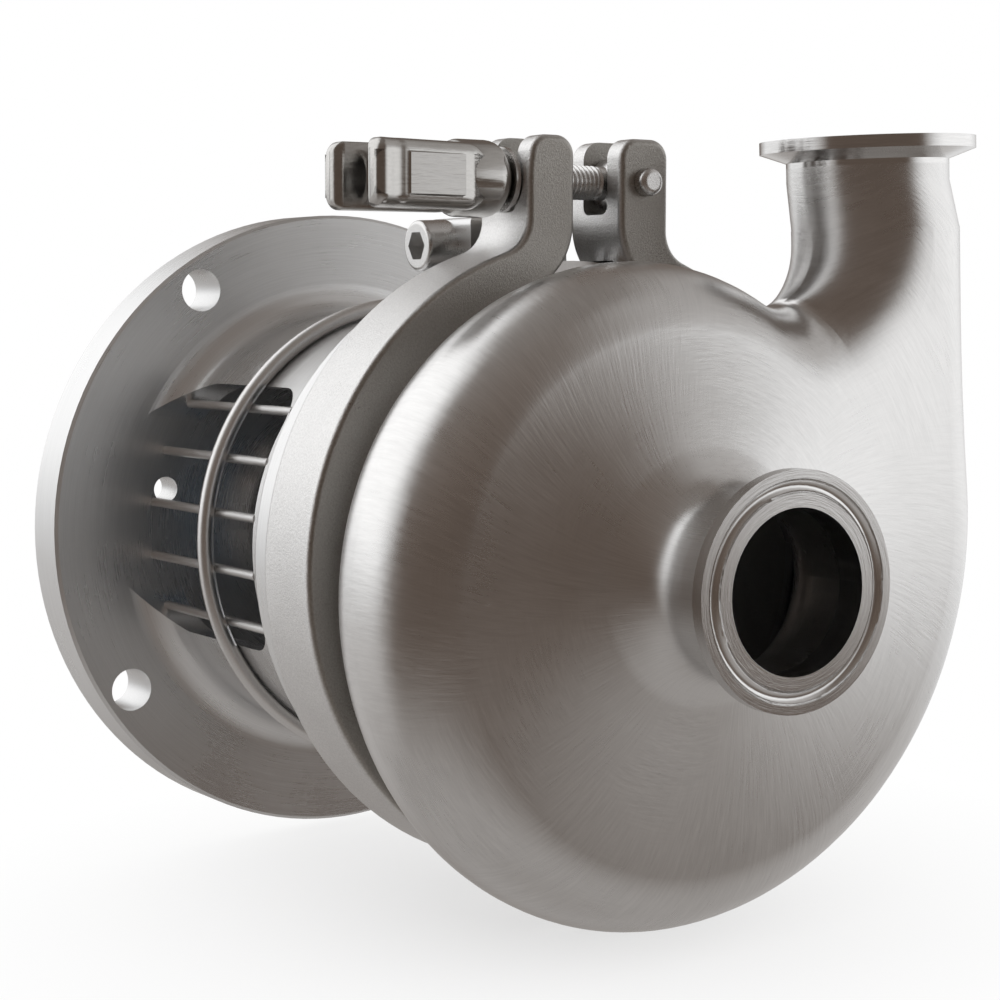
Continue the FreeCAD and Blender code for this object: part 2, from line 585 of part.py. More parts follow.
def knuckle(y0, y1, side):
    """Hinge knuckle with its root on the ring, on the left (-1) or the right (+1)."""
    root_deg = math.radians(GUSSET_DEG)
    root = V(side * CLAMP_R * math.sin(root_deg), y0, -CLAMP_R * math.cos(root_deg))
    inner = V(side * HINGE_GAP / 2, y0, -(CLAMP_R + CLAMP_GROOVE_R) / 2)
    low = V(0, y0, -HINGE_DROP - KNUCKLE_R)
    pivot = V(0, y0, -HINGE_DROP)
    shelf = V(side * HINGE_GAP / 2, y0, -HINGE_DROP)
    deep_r = CLAMP_GROOVE_R + 1
    deep = V(side * deep_r * math.sin(root_deg), y0, -deep_r * math.cos(root_deg))
    web = Part.Face(Part.makePolygon([root, low, pivot, shelf, inner, deep, root]))
    barrel = Part.makeCylinder(KNUCKLE_R, y1 - y0, pivot, Y_AXIS)
    return web.extrude(V(0, y1 - y0, 0)).fuse(barrel)


def lug(left, right, crown_r):
    """Upright lug between two sides. crown_r rounds its outer face about the bolt's pin."""
    base = CLAMP_R - LUG_TOP / 4
    if crown_r:
        pin_x = BOLT_PIN_X
        top_turn = math.asin((LUG_TOP - BOLT_HEIGHT) / crown_r)
        side = [V(left, 0, BOLT_HEIGHT),
                (V(pin_x - crown_r * math.cos(top_turn / 2), 0, BOLT_HEIGHT + crown_r * math.sin(top_turn / 2)),
                 V(pin_x - crown_r * math.cos(top_turn), 0, LUG_TOP))]
    else:
        side = [V(left, 0, LUG_TOP)]
    outline = closed_wire(V(left, 0, base), *side, V(right, 0, LUG_TOP), V(right, 0, base))
    outline.translate(V(0, CLAMP_FRONT_Y, 0))
    body = Part.Face(outline).extrude(V(0, CLAMP_WIDTH, 0))
    return round_edges(body, LUG_CORNER_R, lambda e: along_y(e) and e.BoundBox.ZMax > LUG_TOP - 1e-3)


def lug_relief():
    """Space between the lugs, which widens below them towards the ring's bore."""
    half = LUG_GAP / 2
    low_z = CLAMP_LIP_R - LUG_RELIEF_R / 2

    def on_rounding(side, turn_deg):
        turn = math.radians(turn_deg)
        spread = half + LUG_RELIEF_R * (1 - math.cos(turn))
        return V(side * spread, 0, LUG_RELIEF_TOP - LUG_RELIEF_R * math.sin(turn))
    left_end, right_end = on_rounding(-1, LUG_RELIEF_DEG), on_rounding(1, LUG_RELIEF_DEG)
    outline = closed_wire(V(-half, 0, LUG_TOP + half), V(-half, 0, LUG_RELIEF_TOP),
                          (on_rounding(-1, LUG_RELIEF_DEG / 2), left_end), V(left_end.x, 0, low_z),
                          V(right_end.x, 0, low_z), right_end,
                          (on_rounding(1, LUG_RELIEF_DEG / 2), V(half, 0, LUG_RELIEF_TOP)),
                          V(half, 0, LUG_TOP + half))
    outline.translate(V(LUG_MID_X, CLAMP_FRONT_Y - 1, 0))
    return Part.Face(outline).extrude(V(0, CLAMP_WIDTH + 2, 0))


def bolt_slot(x0, x1):
    """Slot for the swing bolt with rounded corners at its floor, open at the top."""
    half = SLOT_WIDTH / 2
    channel = block(x0, x1, CLAMP_MID_Y - half, CLAMP_MID_Y + half, SLOT_FLOOR, LUG_TOP + half)
    return round_edges(channel, SLOT_CORNER_R, lambda e: e.BoundBox.ZMax < SLOT_FLOOR + 1e-3
                       and e.BoundBox.XLength > 1e-3)


def clamp_halves():
    """Left and right half of the band clamp, in the clamp's upright frame."""
    left_inner, right_inner = LUG_MID_X - LUG_GAP / 2, LUG_MID_X + LUG_GAP / 2
    right_face = right_inner + RIGHT_LUG_THICK
    disc = Part.makeCylinder(CLAMP_R, CLAMP_WIDTH, V(0, CLAMP_FRONT_Y, 0), Y_AXIS)
    left_lug = lug(LEFT_LUG_FACE, left_inner, BOLT_PIN_X - LEFT_LUG_FACE)
    right_lug = lug(right_inner, right_face, 0)
    body = disc.fuse([left_lug, right_lug]).removeSplitter()
    body = round_edges(body, LUG_ROOT_R, lambda e: along_y(e) and e.BoundBox.ZMax < CLAMP_R
                       and abs(e.BoundBox.XMin) > LUG_GAP)
    hinge_cut = block(-HINGE_GAP / 2, HINGE_GAP / 2, CLAMP_FRONT_Y - 1, CLAMP_REAR_Y + 1,
                      -CLAMP_R - 1, -CLAMP_LIP_R + LUG_CORNER_R)
    body = body.cut([lug_relief(), hinge_cut])
    body = round_edges(body, CLAMP_EDGE_R, lambda e: (in_plane_y(e, CLAMP_FRONT_Y) or in_plane_y(e, CLAMP_REAR_Y))
                       and e.BoundBox.DiagonalLength > 0.01
                       and not (e.BoundBox.ZMax < CLAMP_LIP_R and e.BoundBox.ZMin > -CLAMP_LIP_R
                                and e.BoundBox.XLength < CLAMP_LIP_R))
    shallow, deep = CLAMP_LIP_R - 1, CLAMP_GROOVE_R
    groove = turned(flat(0, CASING_JOINT_Y - joint_flank(shallow, GAP)),
                    flat(shallow, CASING_JOINT_Y - joint_flank(shallow, GAP)),
                    flat(deep, CASING_JOINT_Y - joint_flank(deep, GAP)),
                    flat(deep, PLATE_JOINT_Y + joint_flank(deep, GAP)),
                    flat(shallow, PLATE_JOINT_Y + joint_flank(shallow, GAP)),
                    flat(0, PLATE_JOINT_Y + joint_flank(shallow, GAP)))
    bore = Part.makeCylinder(CLAMP_LIP_R, CLAMP_WIDTH, V(0, CLAMP_FRONT_Y, 0), Y_AXIS)
    pin_hole = Part.makeCylinder(BOLT_PIN_R + SEAT_GAP, CLAMP_WIDTH, V(BOLT_PIN_X, CLAMP_FRONT_Y, BOLT_HEIGHT), Y_AXIS)
    slots = [bolt_slot(LEFT_LUG_FACE - 1, 0), bolt_slot(0, right_face + 1)]
    body = body.cut([groove, bore, pin_hole] + slots)
    left, right = sorted(body.Solids, key=lambda solid: solid.CenterOfMass.x)
    middle_0, middle_1 = CLAMP_MID_Y - KNUCKLE_WIDTH / 2, CLAMP_MID_Y + KNUCKLE_WIDTH / 2
    left = left.fuse([knuckle(CLAMP_FRONT_Y, middle_0 - GAP, -1), knuckle(middle_1 + GAP, CLAMP_REAR_Y, -1)])
    right = right.fuse(knuckle(middle_0, middle_1, 1))
    left = left.cut([groove, hinge_bore(RUN_FIT)]).removeSplitter()
    right = right.cut([groove, hinge_bore(SEAT_GAP)]).removeSplitter()
    return left, right


def hinge_bore(fit):
    return Part.makeCylinder(HINGE_PIN_R + fit, CLAMP_WIDTH, V(0, CLAMP_FRONT_Y, -HINGE_DROP), Y_AXIS)


def domed_pin(radius, start, length):
    pin = Part.makeCylinder(radius, length, start, Y_AXIS)
    return round_edges(pin, radius * PIN_DOME, lambda e: e.BoundBox.YLength < 1e-4)


def clamp_hinge_pin():
    return domed_pin(HINGE_PIN_R, V(0, CLAMP_FRONT_Y - HINGE_PIN_END, -HINGE_DROP), CLAMP_WIDTH + 2 * HINGE_PIN_END)


def swing_bolt_pin():
    start = V(BOLT_PIN_X, CLAMP_FRONT_Y - BOLT_PIN_HEAD, BOLT_HEIGHT)
    return domed_pin(BOLT_PIN_R, start, CLAMP_WIDTH + BOLT_PIN_HEAD + HINGE_PIN_END)


def swing_bolt():
    """Eye bolt: the eye turns on its pin in the right lug, the thread passes the left one."""
    eye = Part.makeCylinder(EYE_R, EYE_THICK, V(BOLT_PIN_X, CLAMP_MID_Y - EYE_THICK / 2, BOLT_HEIGHT), Y_AXIS)
    eye = eye.makeChamfer(EYE_EDGE, [e for e in eye.Edges if e.BoundBox.YLength < 1e-4])
    axis = V(BOLT_PIN_X, CLAMP_MID_Y, BOLT_HEIGHT)
    shank = Part.makeCylinder(SHANK_R, BOLT_LENGTH - THREAD_LENGTH, axis, -X_AXIS)
    thread = Part.makeCylinder(BOLT_R, THREAD_LENGTH, axis - X_AXIS * (BOLT_LENGTH - THREAD_LENGTH), -X_AXIS)
    thread = thread.makeChamfer(THREAD_EDGE, [e for e in thread.Edges if e.BoundBox.XMax < BOLT_PIN_X - BOLT_LENGTH + 1e-3])
    hole = Part.makeCylinder(BOLT_PIN_R + RUN_FIT, EYE_THICK, V(BOLT_PIN_X, CLAMP_MID_Y - EYE_THICK / 2, BOLT_HEIGHT), Y_AXIS)
    return eye.fuse([shank, thread]).cut(hole)


def on_bolt(shape, x):
    """Place a piece drawn along +X from its seat on the bolt, with its seat at x."""
    placed = shape.copy()
    placed.rotate(ORIGIN, Z_AXIS, 180)
    placed.translate(V(x, CLAMP_MID_Y, BOLT_HEIGHT))
    return placed


def nut_washer():
    ring = Part.makeCylinder(WASHER_R, WASHER_THICK, ORIGIN, X_AXIS)
    return on_bolt(ring.cut(Part.makeCylinder(BOLT_R + GAP, WASHER_THICK, ORIGIN, X_AXIS)), SEAT_X)


def wing(side):
    """One wing of the nut, from its barrel out to the rounded tip."""
    inner = WING_SPREAD - WING_THICK
    outline = closed_wire(V(WING_START, side * BOLT_R, 0), V(WING_START, side * (NUT_R - WING_SINK), 0),
                          V(WING_END, side * WING_SPREAD, 0), V(WING_END, side * inner, 0))
    outline.translate(V(0, 0, -WING_HEIGHT / 2))
    body = Part.Face(outline).extrude(V(0, 0, WING_HEIGHT))

    def tip(edge):
        box = edge.BoundBox
        return box.XMin > WING_END - 1e-3 and box.XLength < 1e-3 and box.ZLength > 1

    def long_edge(edge):
        box = edge.BoundBox
        return box.ZLength < 1e-3 and box.XMax > WING_START + 1
    body = round_edges(body, WING_TIP_R, tip)
    return round_edges(body, WING_EDGE_R, long_edge)


def wing_nut():
    """Forked wing nut: threaded barrel, hollow tail for the bolt's end, two spread wings."""
    nose = NUT_NOSE_R
    cut = math.sqrt(0.5)
    tail_r = NUT_R - WING_SINK
    outline = closed_wire(V(0, 0, 0), V(0, NUT_R - nose, 0),
                          (V(nose * (1 - cut), NUT_R - nose * (1 - cut), 0), V(nose, NUT_R, 0)),
                          V(NUT_THREAD_LENGTH - nose, NUT_R, 0), V(NUT_THREAD_LENGTH, tail_r, 0),
                          V(NUT_LENGTH, tail_r, 0), V(NUT_LENGTH, 0, 0))
    barrel = Part.Face(outline).revolve(ORIGIN, X_AXIS, 360)
    body = barrel.fuse([wing(-1), wing(1)])
    thread = Part.makeCylinder(BOLT_R + RUN_FIT, NUT_LENGTH, ORIGIN, X_AXIS)
    tail = Part.makeCylinder(NUT_RELIEF_R, WING_END, V(NUT_THREAD_LENGTH, 0, 0), X_AXIS)
    return on_bolt(body.cut([thread, tail]), SEAT_X - WASHER_THICK - NUT_GAP)


def vane(turn_deg):
    """Backward-curved vane standing on the shroud."""
    radii = (HUB_R - 1, (HUB_R + IMPELLER_R) / 2, IMPELLER_R + VANE_THICK)
    points = []
    for share, r in zip((0, 0.5, 1), radii):
        angle = math.radians(turn_deg - VANE_SWEEP_DEG * share)
        points.append(V(r * math.cos(angle), 0, r * math.sin(angle)))
    middle = Part.Arc(*points).toShape().Curve
    centre, radius = middle.Center, middle.Radius
    walls = []
    for r in (radius - VANE_THICK / 2, radius + VANE_THICK / 2):
        walls.append([centre + (point - centre) * (r / radius) for point in points])
    inner, outer = walls
    outline = closed_wire(inner[0], (inner[1], inner[2]), outer[2], (outer[1], outer[0]))
    outline.translate(V(0, SHROUD_BACK_Y - SHROUD_THICK - VANE_HEIGHT, 0))
    return Part.Face(outline).extrude(V(0, VANE_HEIGHT + SHROUD_THICK / 2, 0))


def impeller():
    """Semi-open impeller: shroud, hub and backward-curved vanes."""
    shroud_front = SHROUD_BACK_Y - SHROUD_THICK
    hub_front = SHROUD_BACK_Y - HUB_LENGTH
    body = turned(flat(0, SHROUD_BACK_Y), flat(IMPELLER_R, SHROUD_BACK_Y), flat(IMPELLER_R, shroud_front),
                  flat(HUB_R * 1.5, shroud_front - 1), flat(HUB_R, shroud_front - HUB_R / 2),
                  flat(HUB_R - 1, hub_front), flat(0, hub_front))
    vanes = [vane(360 * k / VANES) for k in range(VANES)]
    rim = Part.makeCylinder(IMPELLER_R, 2 * HUB_LENGTH, V(0, SHROUD_BACK_Y - 2 * HUB_LENGTH, 0), Y_AXIS)
    vanes = [blade.common(rim) for blade in vanes]
    bore = Part.makeCylinder(SPINDLE_R + SEAT_GAP, HUB_LENGTH, V(0, hub_front, 0), Y_AXIS)
    return body.fuse(vanes).cut([bore, key_block(SEAT_GAP)]).removeSplitter()


def key_block(fit):
    """Drive key on top of the spindle, grown by a fit for its keyways."""
    half = KEY_WIDTH / 2 + fit
    rear = SHROUD_BACK_Y
    return block(-half, half, rear - KEY_LENGTH - fit, rear, SPINDLE_R - KEY_WIDTH / 2 - fit,
                 SPINDLE_R + KEY_WIDTH / 2 + fit)


def impeller_nut():
    """Domed nut that holds the impeller on the shaft's threaded tip."""
    seat = SHROUD_BACK_Y - HUB_LENGTH
    dome = NUT_CAP_LENGTH - NUT_CAP_RIM
    ball_r = (NUT_CAP_R ** 2 + dome ** 2) / (2 * dome)
    centre_y = seat - NUT_CAP_LENGTH + ball_r
    half_turn = math.asin(NUT_CAP_R / ball_r) / 2
    shoulder = flat(ball_r * math.sin(half_turn), centre_y - ball_r * math.cos(half_turn))
    body = turned(flat(0, seat), flat(NUT_CAP_R, seat), flat(NUT_CAP_R, seat - NUT_CAP_RIM),
                  (shoulder, flat(0, seat - NUT_CAP_LENGTH)))
    bore = Part.makeCylinder(THREAD_TIP_R + SEAT_GAP, THREAD_TIP_LENGTH, V(0, seat - THREAD_TIP_LENGTH, 0), Y_AXIS)
    return body.cut([bore, cap_ring(SEAT_GAP)])


def cap_ring(fit):
    """Sealing ring in the nut's face, around the threaded tip."""
    seat = SHROUD_BACK_Y - HUB_LENGTH
    return Part.makeTorus(SPINDLE_R + CAP_RING_R, CAP_RING_R + fit, V(0, seat - CAP_RING_R, 0), Y_AXIS)


def stub_shaft():
    """Spindle, seal diameter and the slit sleeve that takes the motor's shaft."""
    tip_end = SHROUD_BACK_Y - HUB_LENGTH - THREAD_TIP_LENGTH + SEAT_GAP
    spindle_end = SHROUD_BACK_Y - HUB_LENGTH + CAP_RING_R
    body = turned(flat(0, tip_end), flat(THREAD_TIP_R, tip_end), flat(THREAD_TIP_R, spindle_end),
                  flat(SPINDLE_R, spindle_end), flat(SPINDLE_R, SHROUD_BACK_Y), flat(SHAFT_R, SHROUD_BACK_Y),
                  flat(SHAFT_R, SLEEVE_FRONT_Y), flat(SLEEVE_R, SLEEVE_FRONT_Y), flat(SLEEVE_R, SLEEVE_REAR_Y),
                  flat(MOTOR_SHAFT_R, SLEEVE_REAR_Y), flat(MOTOR_SHAFT_R, SLEEVE_REAR_Y - MOTOR_BORE_DEPTH),
                  flat(0, SLEEVE_REAR_Y - MOTOR_BORE_DEPTH))
    slit = block(-SLEEVE_R, SLEEVE_R, SLEEVE_REAR_Y - SLEEVE_SLIT_LENGTH, SLEEVE_REAR_Y,
                 -SLEEVE_SLIT / 2, SLEEVE_SLIT / 2)
    return body.cut([slit, key_block(SEAT_GAP)])


def collar_halves():
    """Two-piece collar that clamps the slit sleeve on the motor's shaft."""
    ring = tube(SLEEVE_R + SEAT_GAP, COLLAR_R, COLLAR_FRONT_Y, COLLAR_REAR_Y)
    mid_y = (COLLAR_FRONT_Y + COLLAR_REAR_Y) / 2
    tools = []
    for x in (-COLLAR_SCREW_AT, COLLAR_SCREW_AT):
        seat = V(x, mid_y, COLLAR_SEAT_Z)
        tools.append(Part.makeCylinder(COLLAR_SCREW_HEAD_R + SEAT_GAP, COLLAR_R, seat, Z_AXIS))
        tools.append(Part.makeCylinder(COLLAR_SCREW_R + SEAT_GAP, 2 * COLLAR_R, seat - Z_AXIS * COLLAR_SCREW_LENGTH, Z_AXIS))
    ring = ring.cut(tools)
    halves = []
    for sign in (1, -1):
        low, high = sorted((sign * COLLAR_SPLIT / 2, sign * COLLAR_R))
        halves.append(ring.common(block(-COLLAR_R, COLLAR_R, COLLAR_FRONT_Y, COLLAR_REAR_Y, low, high)))
    return halves


def collar_screws():
    mid_y = (COLLAR_FRONT_Y + COLLAR_REAR_Y) / 2
    screws = []
    for x in (-COLLAR_SCREW_AT, COLLAR_SCREW_AT):
        seat = V(x, mid_y, COLLAR_SEAT_Z)
        head = Part.makeCylinder(COLLAR_SCREW_HEAD_R, COLLAR_SCREW_HEAD, seat, Z_AXIS)
        shank = Part.makeCylinder(COLLAR_SCREW_R, COLLAR_SCREW_LENGTH, seat, -Z_AXIS)
        socket = hexagon_prism(COLLAR_SCREW_HEAD_R, COLLAR_SCREW_HEAD / 2, ORIGIN, X_AXIS)
        socket.rotate(ORIGIN, Y_AXIS, 90)
        socket.translate(seat + Z_AXIS * COLLAR_SCREW_HEAD)
        screws.append(head.fuse(shank).cut(socket))
    return Part.makeCompound(screws)


def deflector():
    """Rubber slinger on the sleeve, which throws drips clear of the motor."""
    front = (SLEEVE_FRONT_Y + COLLAR_FRONT_Y) / 2 - DEFLECTOR_HUB
    inner = SLEEVE_R + SEAT_GAP
    hub_r = SLEEVE_R + DEFLECTOR_HUB
    return turned(flat(inner, front), flat(hub_r, front), flat(DEFLECTOR_R, front - DEFLECTOR_HUB / 2),
                  flat(DEFLECTOR_R, front - DEFLECTOR_HUB / 2 + DEFLECTOR_THICK / 2),
                  flat(hub_r, front + DEFLECTOR_THICK), flat(hub_r, front + 2 * DEFLECTOR_HUB),
                  flat(inner, front + 2 * DEFLECTOR_HUB))


def carbon_seal():
    """Carbon ring whose nose runs on the back plate's hub."""
    nose_y = SEAL_FACE_Y + NUT_GAP
    body_y = nose_y + CARBON_NOSE
    rear_y = nose_y + CARBON_LENGTH
    pocket_r = SHAFT_R + 2 * SEAL_RING_R + SEAT_GAP
    return turned(flat(PLATE_BORE_R, nose_y), flat(CARBON_NOSE_R, nose_y), flat(CARBON_NOSE_R, body_y),
                  flat(CARBON_R, body_y), flat(CARBON_R, rear_y), flat(pocket_r, rear_y),
                  flat(pocket_r, rear_y - 2 * SEAL_RING_R), flat(SHAFT_R + SEAT_GAP, rear_y - 2 * SEAL_RING_R),
                  flat(SHAFT_R + SEAT_GAP, body_y), flat(PLATE_BORE_R, body_y))


def seal_o_ring():
    rear_y = SEAL_FACE_Y + NUT_GAP + CARBON_LENGTH
    return Part.makeTorus(SHAFT_R + SEAL_RING_R, SEAL_RING_R - SEAT_GAP / 2, V(0, rear_y - SEAL_RING_R, 0), Y_AXIS)


def seal_cup():
    """Pressed cup that carries the carbon and takes the spring's thrust."""
    rear_y = SEAL_FACE_Y + NUT_GAP + CARBON_LENGTH
    back_y = rear_y + CUP_WALL
    front_y = back_y - CUP_LENGTH + CARBON_NOSE
    inner_r = CARBON_R + SEAT_GAP
    return turned(flat(SHAFT_R + SEAT_GAP, rear_y), flat(inner_r, rear_y), flat(inner_r, front_y),
                  flat(inner_r + CUP_WALL, front_y), flat(inner_r + CUP_WALL, back_y), flat(SHAFT_R + SEAT_GAP, back_y))


def seal_spring():
    """Compression spring between the cup and the sleeve's shoulder. Each half turn is an arc of a
    circle, tilted so that it meets the next one without a bend."""
    start_y = SEAL_FACE_Y + NUT_GAP + CARBON_LENGTH + CUP_WALL + SPRING_WIRE_R
    end_y = SLEEVE_FRONT_Y - SPRING_WIRE_R
    coil_r = (SHAFT_R + SLEEVE_R) / 2
    rise = (end_y - start_y) / (2 * SPRING_TURNS)
    halves = []
    for k in range(2 * SPRING_TURNS):
        side = 1 if k % 2 == 0 else -1
        start = V(side * coil_r, start_y + k * rise, 0)
        section = Part.Face(Part.Wire(Part.makeCircle(SPRING_WIRE_R, start, Z_AXIS)))
        halves.append(section.revolve(V(0, start_y + (k + 0.5) * rise, 0), V(side * rise, 2 * coil_r, 0), 180))
    return halves[0].fuse(halves[1:]).removeSplitter()


def build():
    adapter_body = adapter()
    hoop = guard_hoop()
    left_half, right_half = clamp_halves()
    upper_collar, lower_collar = collar_halves()
    pieces = {
        "casing": casing(),
        "casing_gasket": casing_gasket(),
        "backplate": backplate(),
        "adapter": adapter_body,
        "adapter_pinch_screw": pinch_screw(),
        "guard_hoop": hoop,
        "guard_bars": guard_bars(adapter_body, hoop),
        "clamp_half_left": clamp_frame(left_half),
        "clamp_half_right": clamp_frame(right_half),
        "clamp_hinge_pin": clamp_frame(clamp_hinge_pin()),
        "swing_bolt_pin": clamp_frame(swing_bolt_pin()),
        "swing_bolt": clamp_frame(swing_bolt()),
        "nut_washer": clamp_frame(nut_washer()),
        "wing_nut": clamp_frame(wing_nut()),
        "impeller": impeller(),
        "impeller_key": key_block(0),
        "impeller_nut": impeller_nut(),
        "impeller_nut_ring": cap_ring(0),
        "stub_shaft": stub_shaft(),
        "shaft_collar_upper": upper_collar,
        "shaft_collar_lower": lower_collar,
        "collar_screws": collar_screws(),
        "deflector": deflector(),
        "carbon_seal": carbon_seal(),
        "seal_o_ring": seal_o_ring(),
        "seal_cup": seal_cup(),
        "seal_spring": seal_spring(),
    }
    os.makedirs("parts", exist_ok=True)
    for name, shape in pieces.items():
        shape.exportStep(os.path.join("parts", name + ".step"))
        print(name, len(shape.Solids), "valid" if shape.isValid() else "NOT VALID", round(shape.Volume, 1))


build()
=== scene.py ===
import math

import bmesh
import bpy
from mathutils import Matrix, Vector


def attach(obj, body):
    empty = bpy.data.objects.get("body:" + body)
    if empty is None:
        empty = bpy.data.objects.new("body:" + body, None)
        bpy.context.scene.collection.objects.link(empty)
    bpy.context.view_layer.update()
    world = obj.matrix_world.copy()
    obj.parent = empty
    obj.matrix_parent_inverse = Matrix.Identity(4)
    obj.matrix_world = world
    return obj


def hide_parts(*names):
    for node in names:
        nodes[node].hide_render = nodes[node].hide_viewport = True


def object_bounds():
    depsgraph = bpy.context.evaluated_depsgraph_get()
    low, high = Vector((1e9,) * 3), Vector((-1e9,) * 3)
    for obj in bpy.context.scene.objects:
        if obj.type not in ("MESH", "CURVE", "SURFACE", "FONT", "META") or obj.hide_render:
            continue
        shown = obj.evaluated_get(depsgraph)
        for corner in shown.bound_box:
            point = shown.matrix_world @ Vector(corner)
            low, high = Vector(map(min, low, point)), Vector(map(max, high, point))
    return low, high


# Camera fitted to the photograph: place in metres, turn and focal length
CAMERA_AT = (-0.29880, -0.54822, 0.06927)
CAMERA_AZIMUTH_DEG = -33.351
CAMERA_ELEVATION_DEG = 6.106
CAMERA_ROLL_DEG = -1.848
FOCAL_PIXELS = 2246.893
IMAGE_PIXELS = 1000.0
SENSOR_MM = 36.0

# Floor, in metres
FLOOR_HALF = 30.0
FLOOR_CENTRE = (0.0, -0.1, 0.0)
FLOOR_COLOUR = (0.97, 0.97, 0.97, 1.0)
FLOOR_LIFT = 0.60               # how much of the backdrop's white the floor has under the object
FLOOR_FADE = (0.02, 0.16)       # radii over which the floor turns into the backdrop

# Studio that the steel reflects. Directions are in degrees round the object: 0 looks out of the inlet,
# 90 to the right. Each list gives levels of brightness at angles round it, or above the horizon.
LEFT_WALL = 1.42
LEFT_SIDE = [(-180, 1.0), (-110, 1.0), (-94, 0.55), (-82, 0.0), (150, 0.0), (172, 0.7), (180, 1.0)]
LEFT_HEIGHT = [(-90, 0.20), (-53, 0.24), (-38, 0.30), (-23, 0.38), (-9, 0.45), (2, 0.72), (10, 1.0),
               (62, 1.0), (76, 0.2), (90, 0.1)]
RIGHT_WALL = 1.25
RIGHT_SIDE = [(-180, 0.0), (15, 0.0), (23, 0.36), (31, 0.74), (44, 1.0), (95, 1.0), (122, 0.6),
              (140, 0.0), (180, 0.0)]
RIGHT_HEIGHT = [(-90, 0.22), (-53, 0.32), (-38, 0.38), (-23, 0.50), (-9, 0.88), (0, 1.0), (12, 0.92),
                (24, 0.50), (38, 0.40), (52, 0.38), (66, 0.12)]
RIGHT_SLANT = 2.2               # degrees the right wall's edge draws back per degree below the horizon,
SLANT_END = -14.0               # down to this height
REST_HEIGHT = [(-90, 0.36), (-58, 0.42), (-44, 0.37), (-32, 0.26), (-20, 0.145), (-8, 0.09), (12, 0.11),
               (40, 0.16), (66, 0.20), (90, 0.24)]
TINTS = [(0.10, (1.26, 0.96, 0.78, 1.0)), (0.22, (1.10, 0.99, 0.91, 1.0)),
         (0.40, (1.05, 0.995, 0.955, 1.0)), (0.85, (1.0, 1.0, 1.0, 1.0))]

# Tool marks that are even all over: share of change along x, y and z, and the noise's scale, detail
# and roughness
EVEN_MARKS = {"blasted": ((1.0, 1.0, 1.0), 2000.0, 4.0, 0.75),
              "drawn": ((1.0, 0.06, 1.0), 2600.0, 2.0, 0.5),
              "polished": ((0.15, 1.0, 1.0), 1500.0, 2.0, 0.5)}
# Tool marks round an axis: share of change along the radius and the depth, and round the axis, and the
# noise's detail and roughness
ROUND_MARKS = {"turned": (1.0, 0.0012, 3.0, 0.7),
               "stroke": (0.05, 0.030, 4.0, 0.7),
               "arc": (0.6, 0.0035, 3.0, 0.65)}
ROUND_MARK_SCALE = 2400.0
SWIRL = 5.0                     # radians by which a brush stroke turns in a metre of radius
ARC_PATCH_SCALE = 22.0
ARC_PATCHES = (0.50, 0.62)      # levels of that noise over which strokes turn into arcs
MARK_DEPTH = 0.00012            # metres
CLOUD_SCALE = 30.0
CLOUD_SHARE = 0.25              # share of the clouds in the tone; the tool marks have the rest

# Shading of the casing, in metres. Leans are sines of the normal's angle out from the shaft axis.
CASING_CENTRE = (0, -0.17, 0)
FRONT_LEAN = 0.19
FRONT_FADE = (0.050, 0.078)     # heights over which the lean ends below the outlet
FRONT_FACING = (-0.8, -0.2)     # y of the normal over which it ends towards the sides
INLET_FADE = (-0.1935, -0.1905)  # y over which it ends towards the inlet's ferrule
ROOT_LEAN = 0.50                # most lean at the inlet's root
ROOT_LEAST = 0.36               # least lean there
ROOT_FADE = (0.036, 0.044)      # radii over which the root's limit ends
LEAN_EVEN_R = 0.064             # the lean is even outside this radius
NECK_FADE = (0.034, 0.056)      # heights over which the outlet becomes a straight, upright tube
NECK_TOP = (0.0855, 0.0870)     # heights over which it ends below the outlet's ferrule
NECK_SIDE = (0.036, 0.044)      # x over which it begins
NECK_SHARE = 0.9
FERRULE_INLET = -0.1965         # in front of this y the casing is a turned ferrule,
FERRULE_OUTLET = 0.0880         # and above this z
FERRULE_EDGE = 0.0005
OUTLET_CENTRE = (0.0705, -0.1495, 0)
FERRULE_SMOOTH = 0.55           # a ferrule's roughness, as a share of the brushed sheet's
FERRULE_BUMP = 0.5
SHADE_FACING = (0.55, 0.85)      # how far a face looks along the shaft where it gets painted shade

# Clamp frame and swing bolt, in metres and degrees
CLAMP_TURN_DEG = 2.3
BOLT_EYE = (0.0157, -0.12025, 0.0866)
EYE_R = 0.0062
EYE_BORE_R = 0.00328
EYE_THICK = 0.0080
EYE_SOFT = 0.0007
EYE_SEGMENTS = 56
SHANK_LENGTH = 0.0066
SHANK_R = 0.0039
SHANK_INNER_R = 0.0024
THREAD_LENGTH = 0.0514
THREAD_R = 0.0040
THREAD_ROOT_R = 0.00335
THREAD_TIP_R = 0.00295
THREAD_PITCH = 0.00125
THREAD_SHAPE = (0.16, 0.66)     # shares of half a pitch that the root and the flank take up
THREAD_START = 1.5              # turns over which the thread grows out of the shank
BOLT_SEGMENTS = 40
ROWS_PER_PITCH = 10

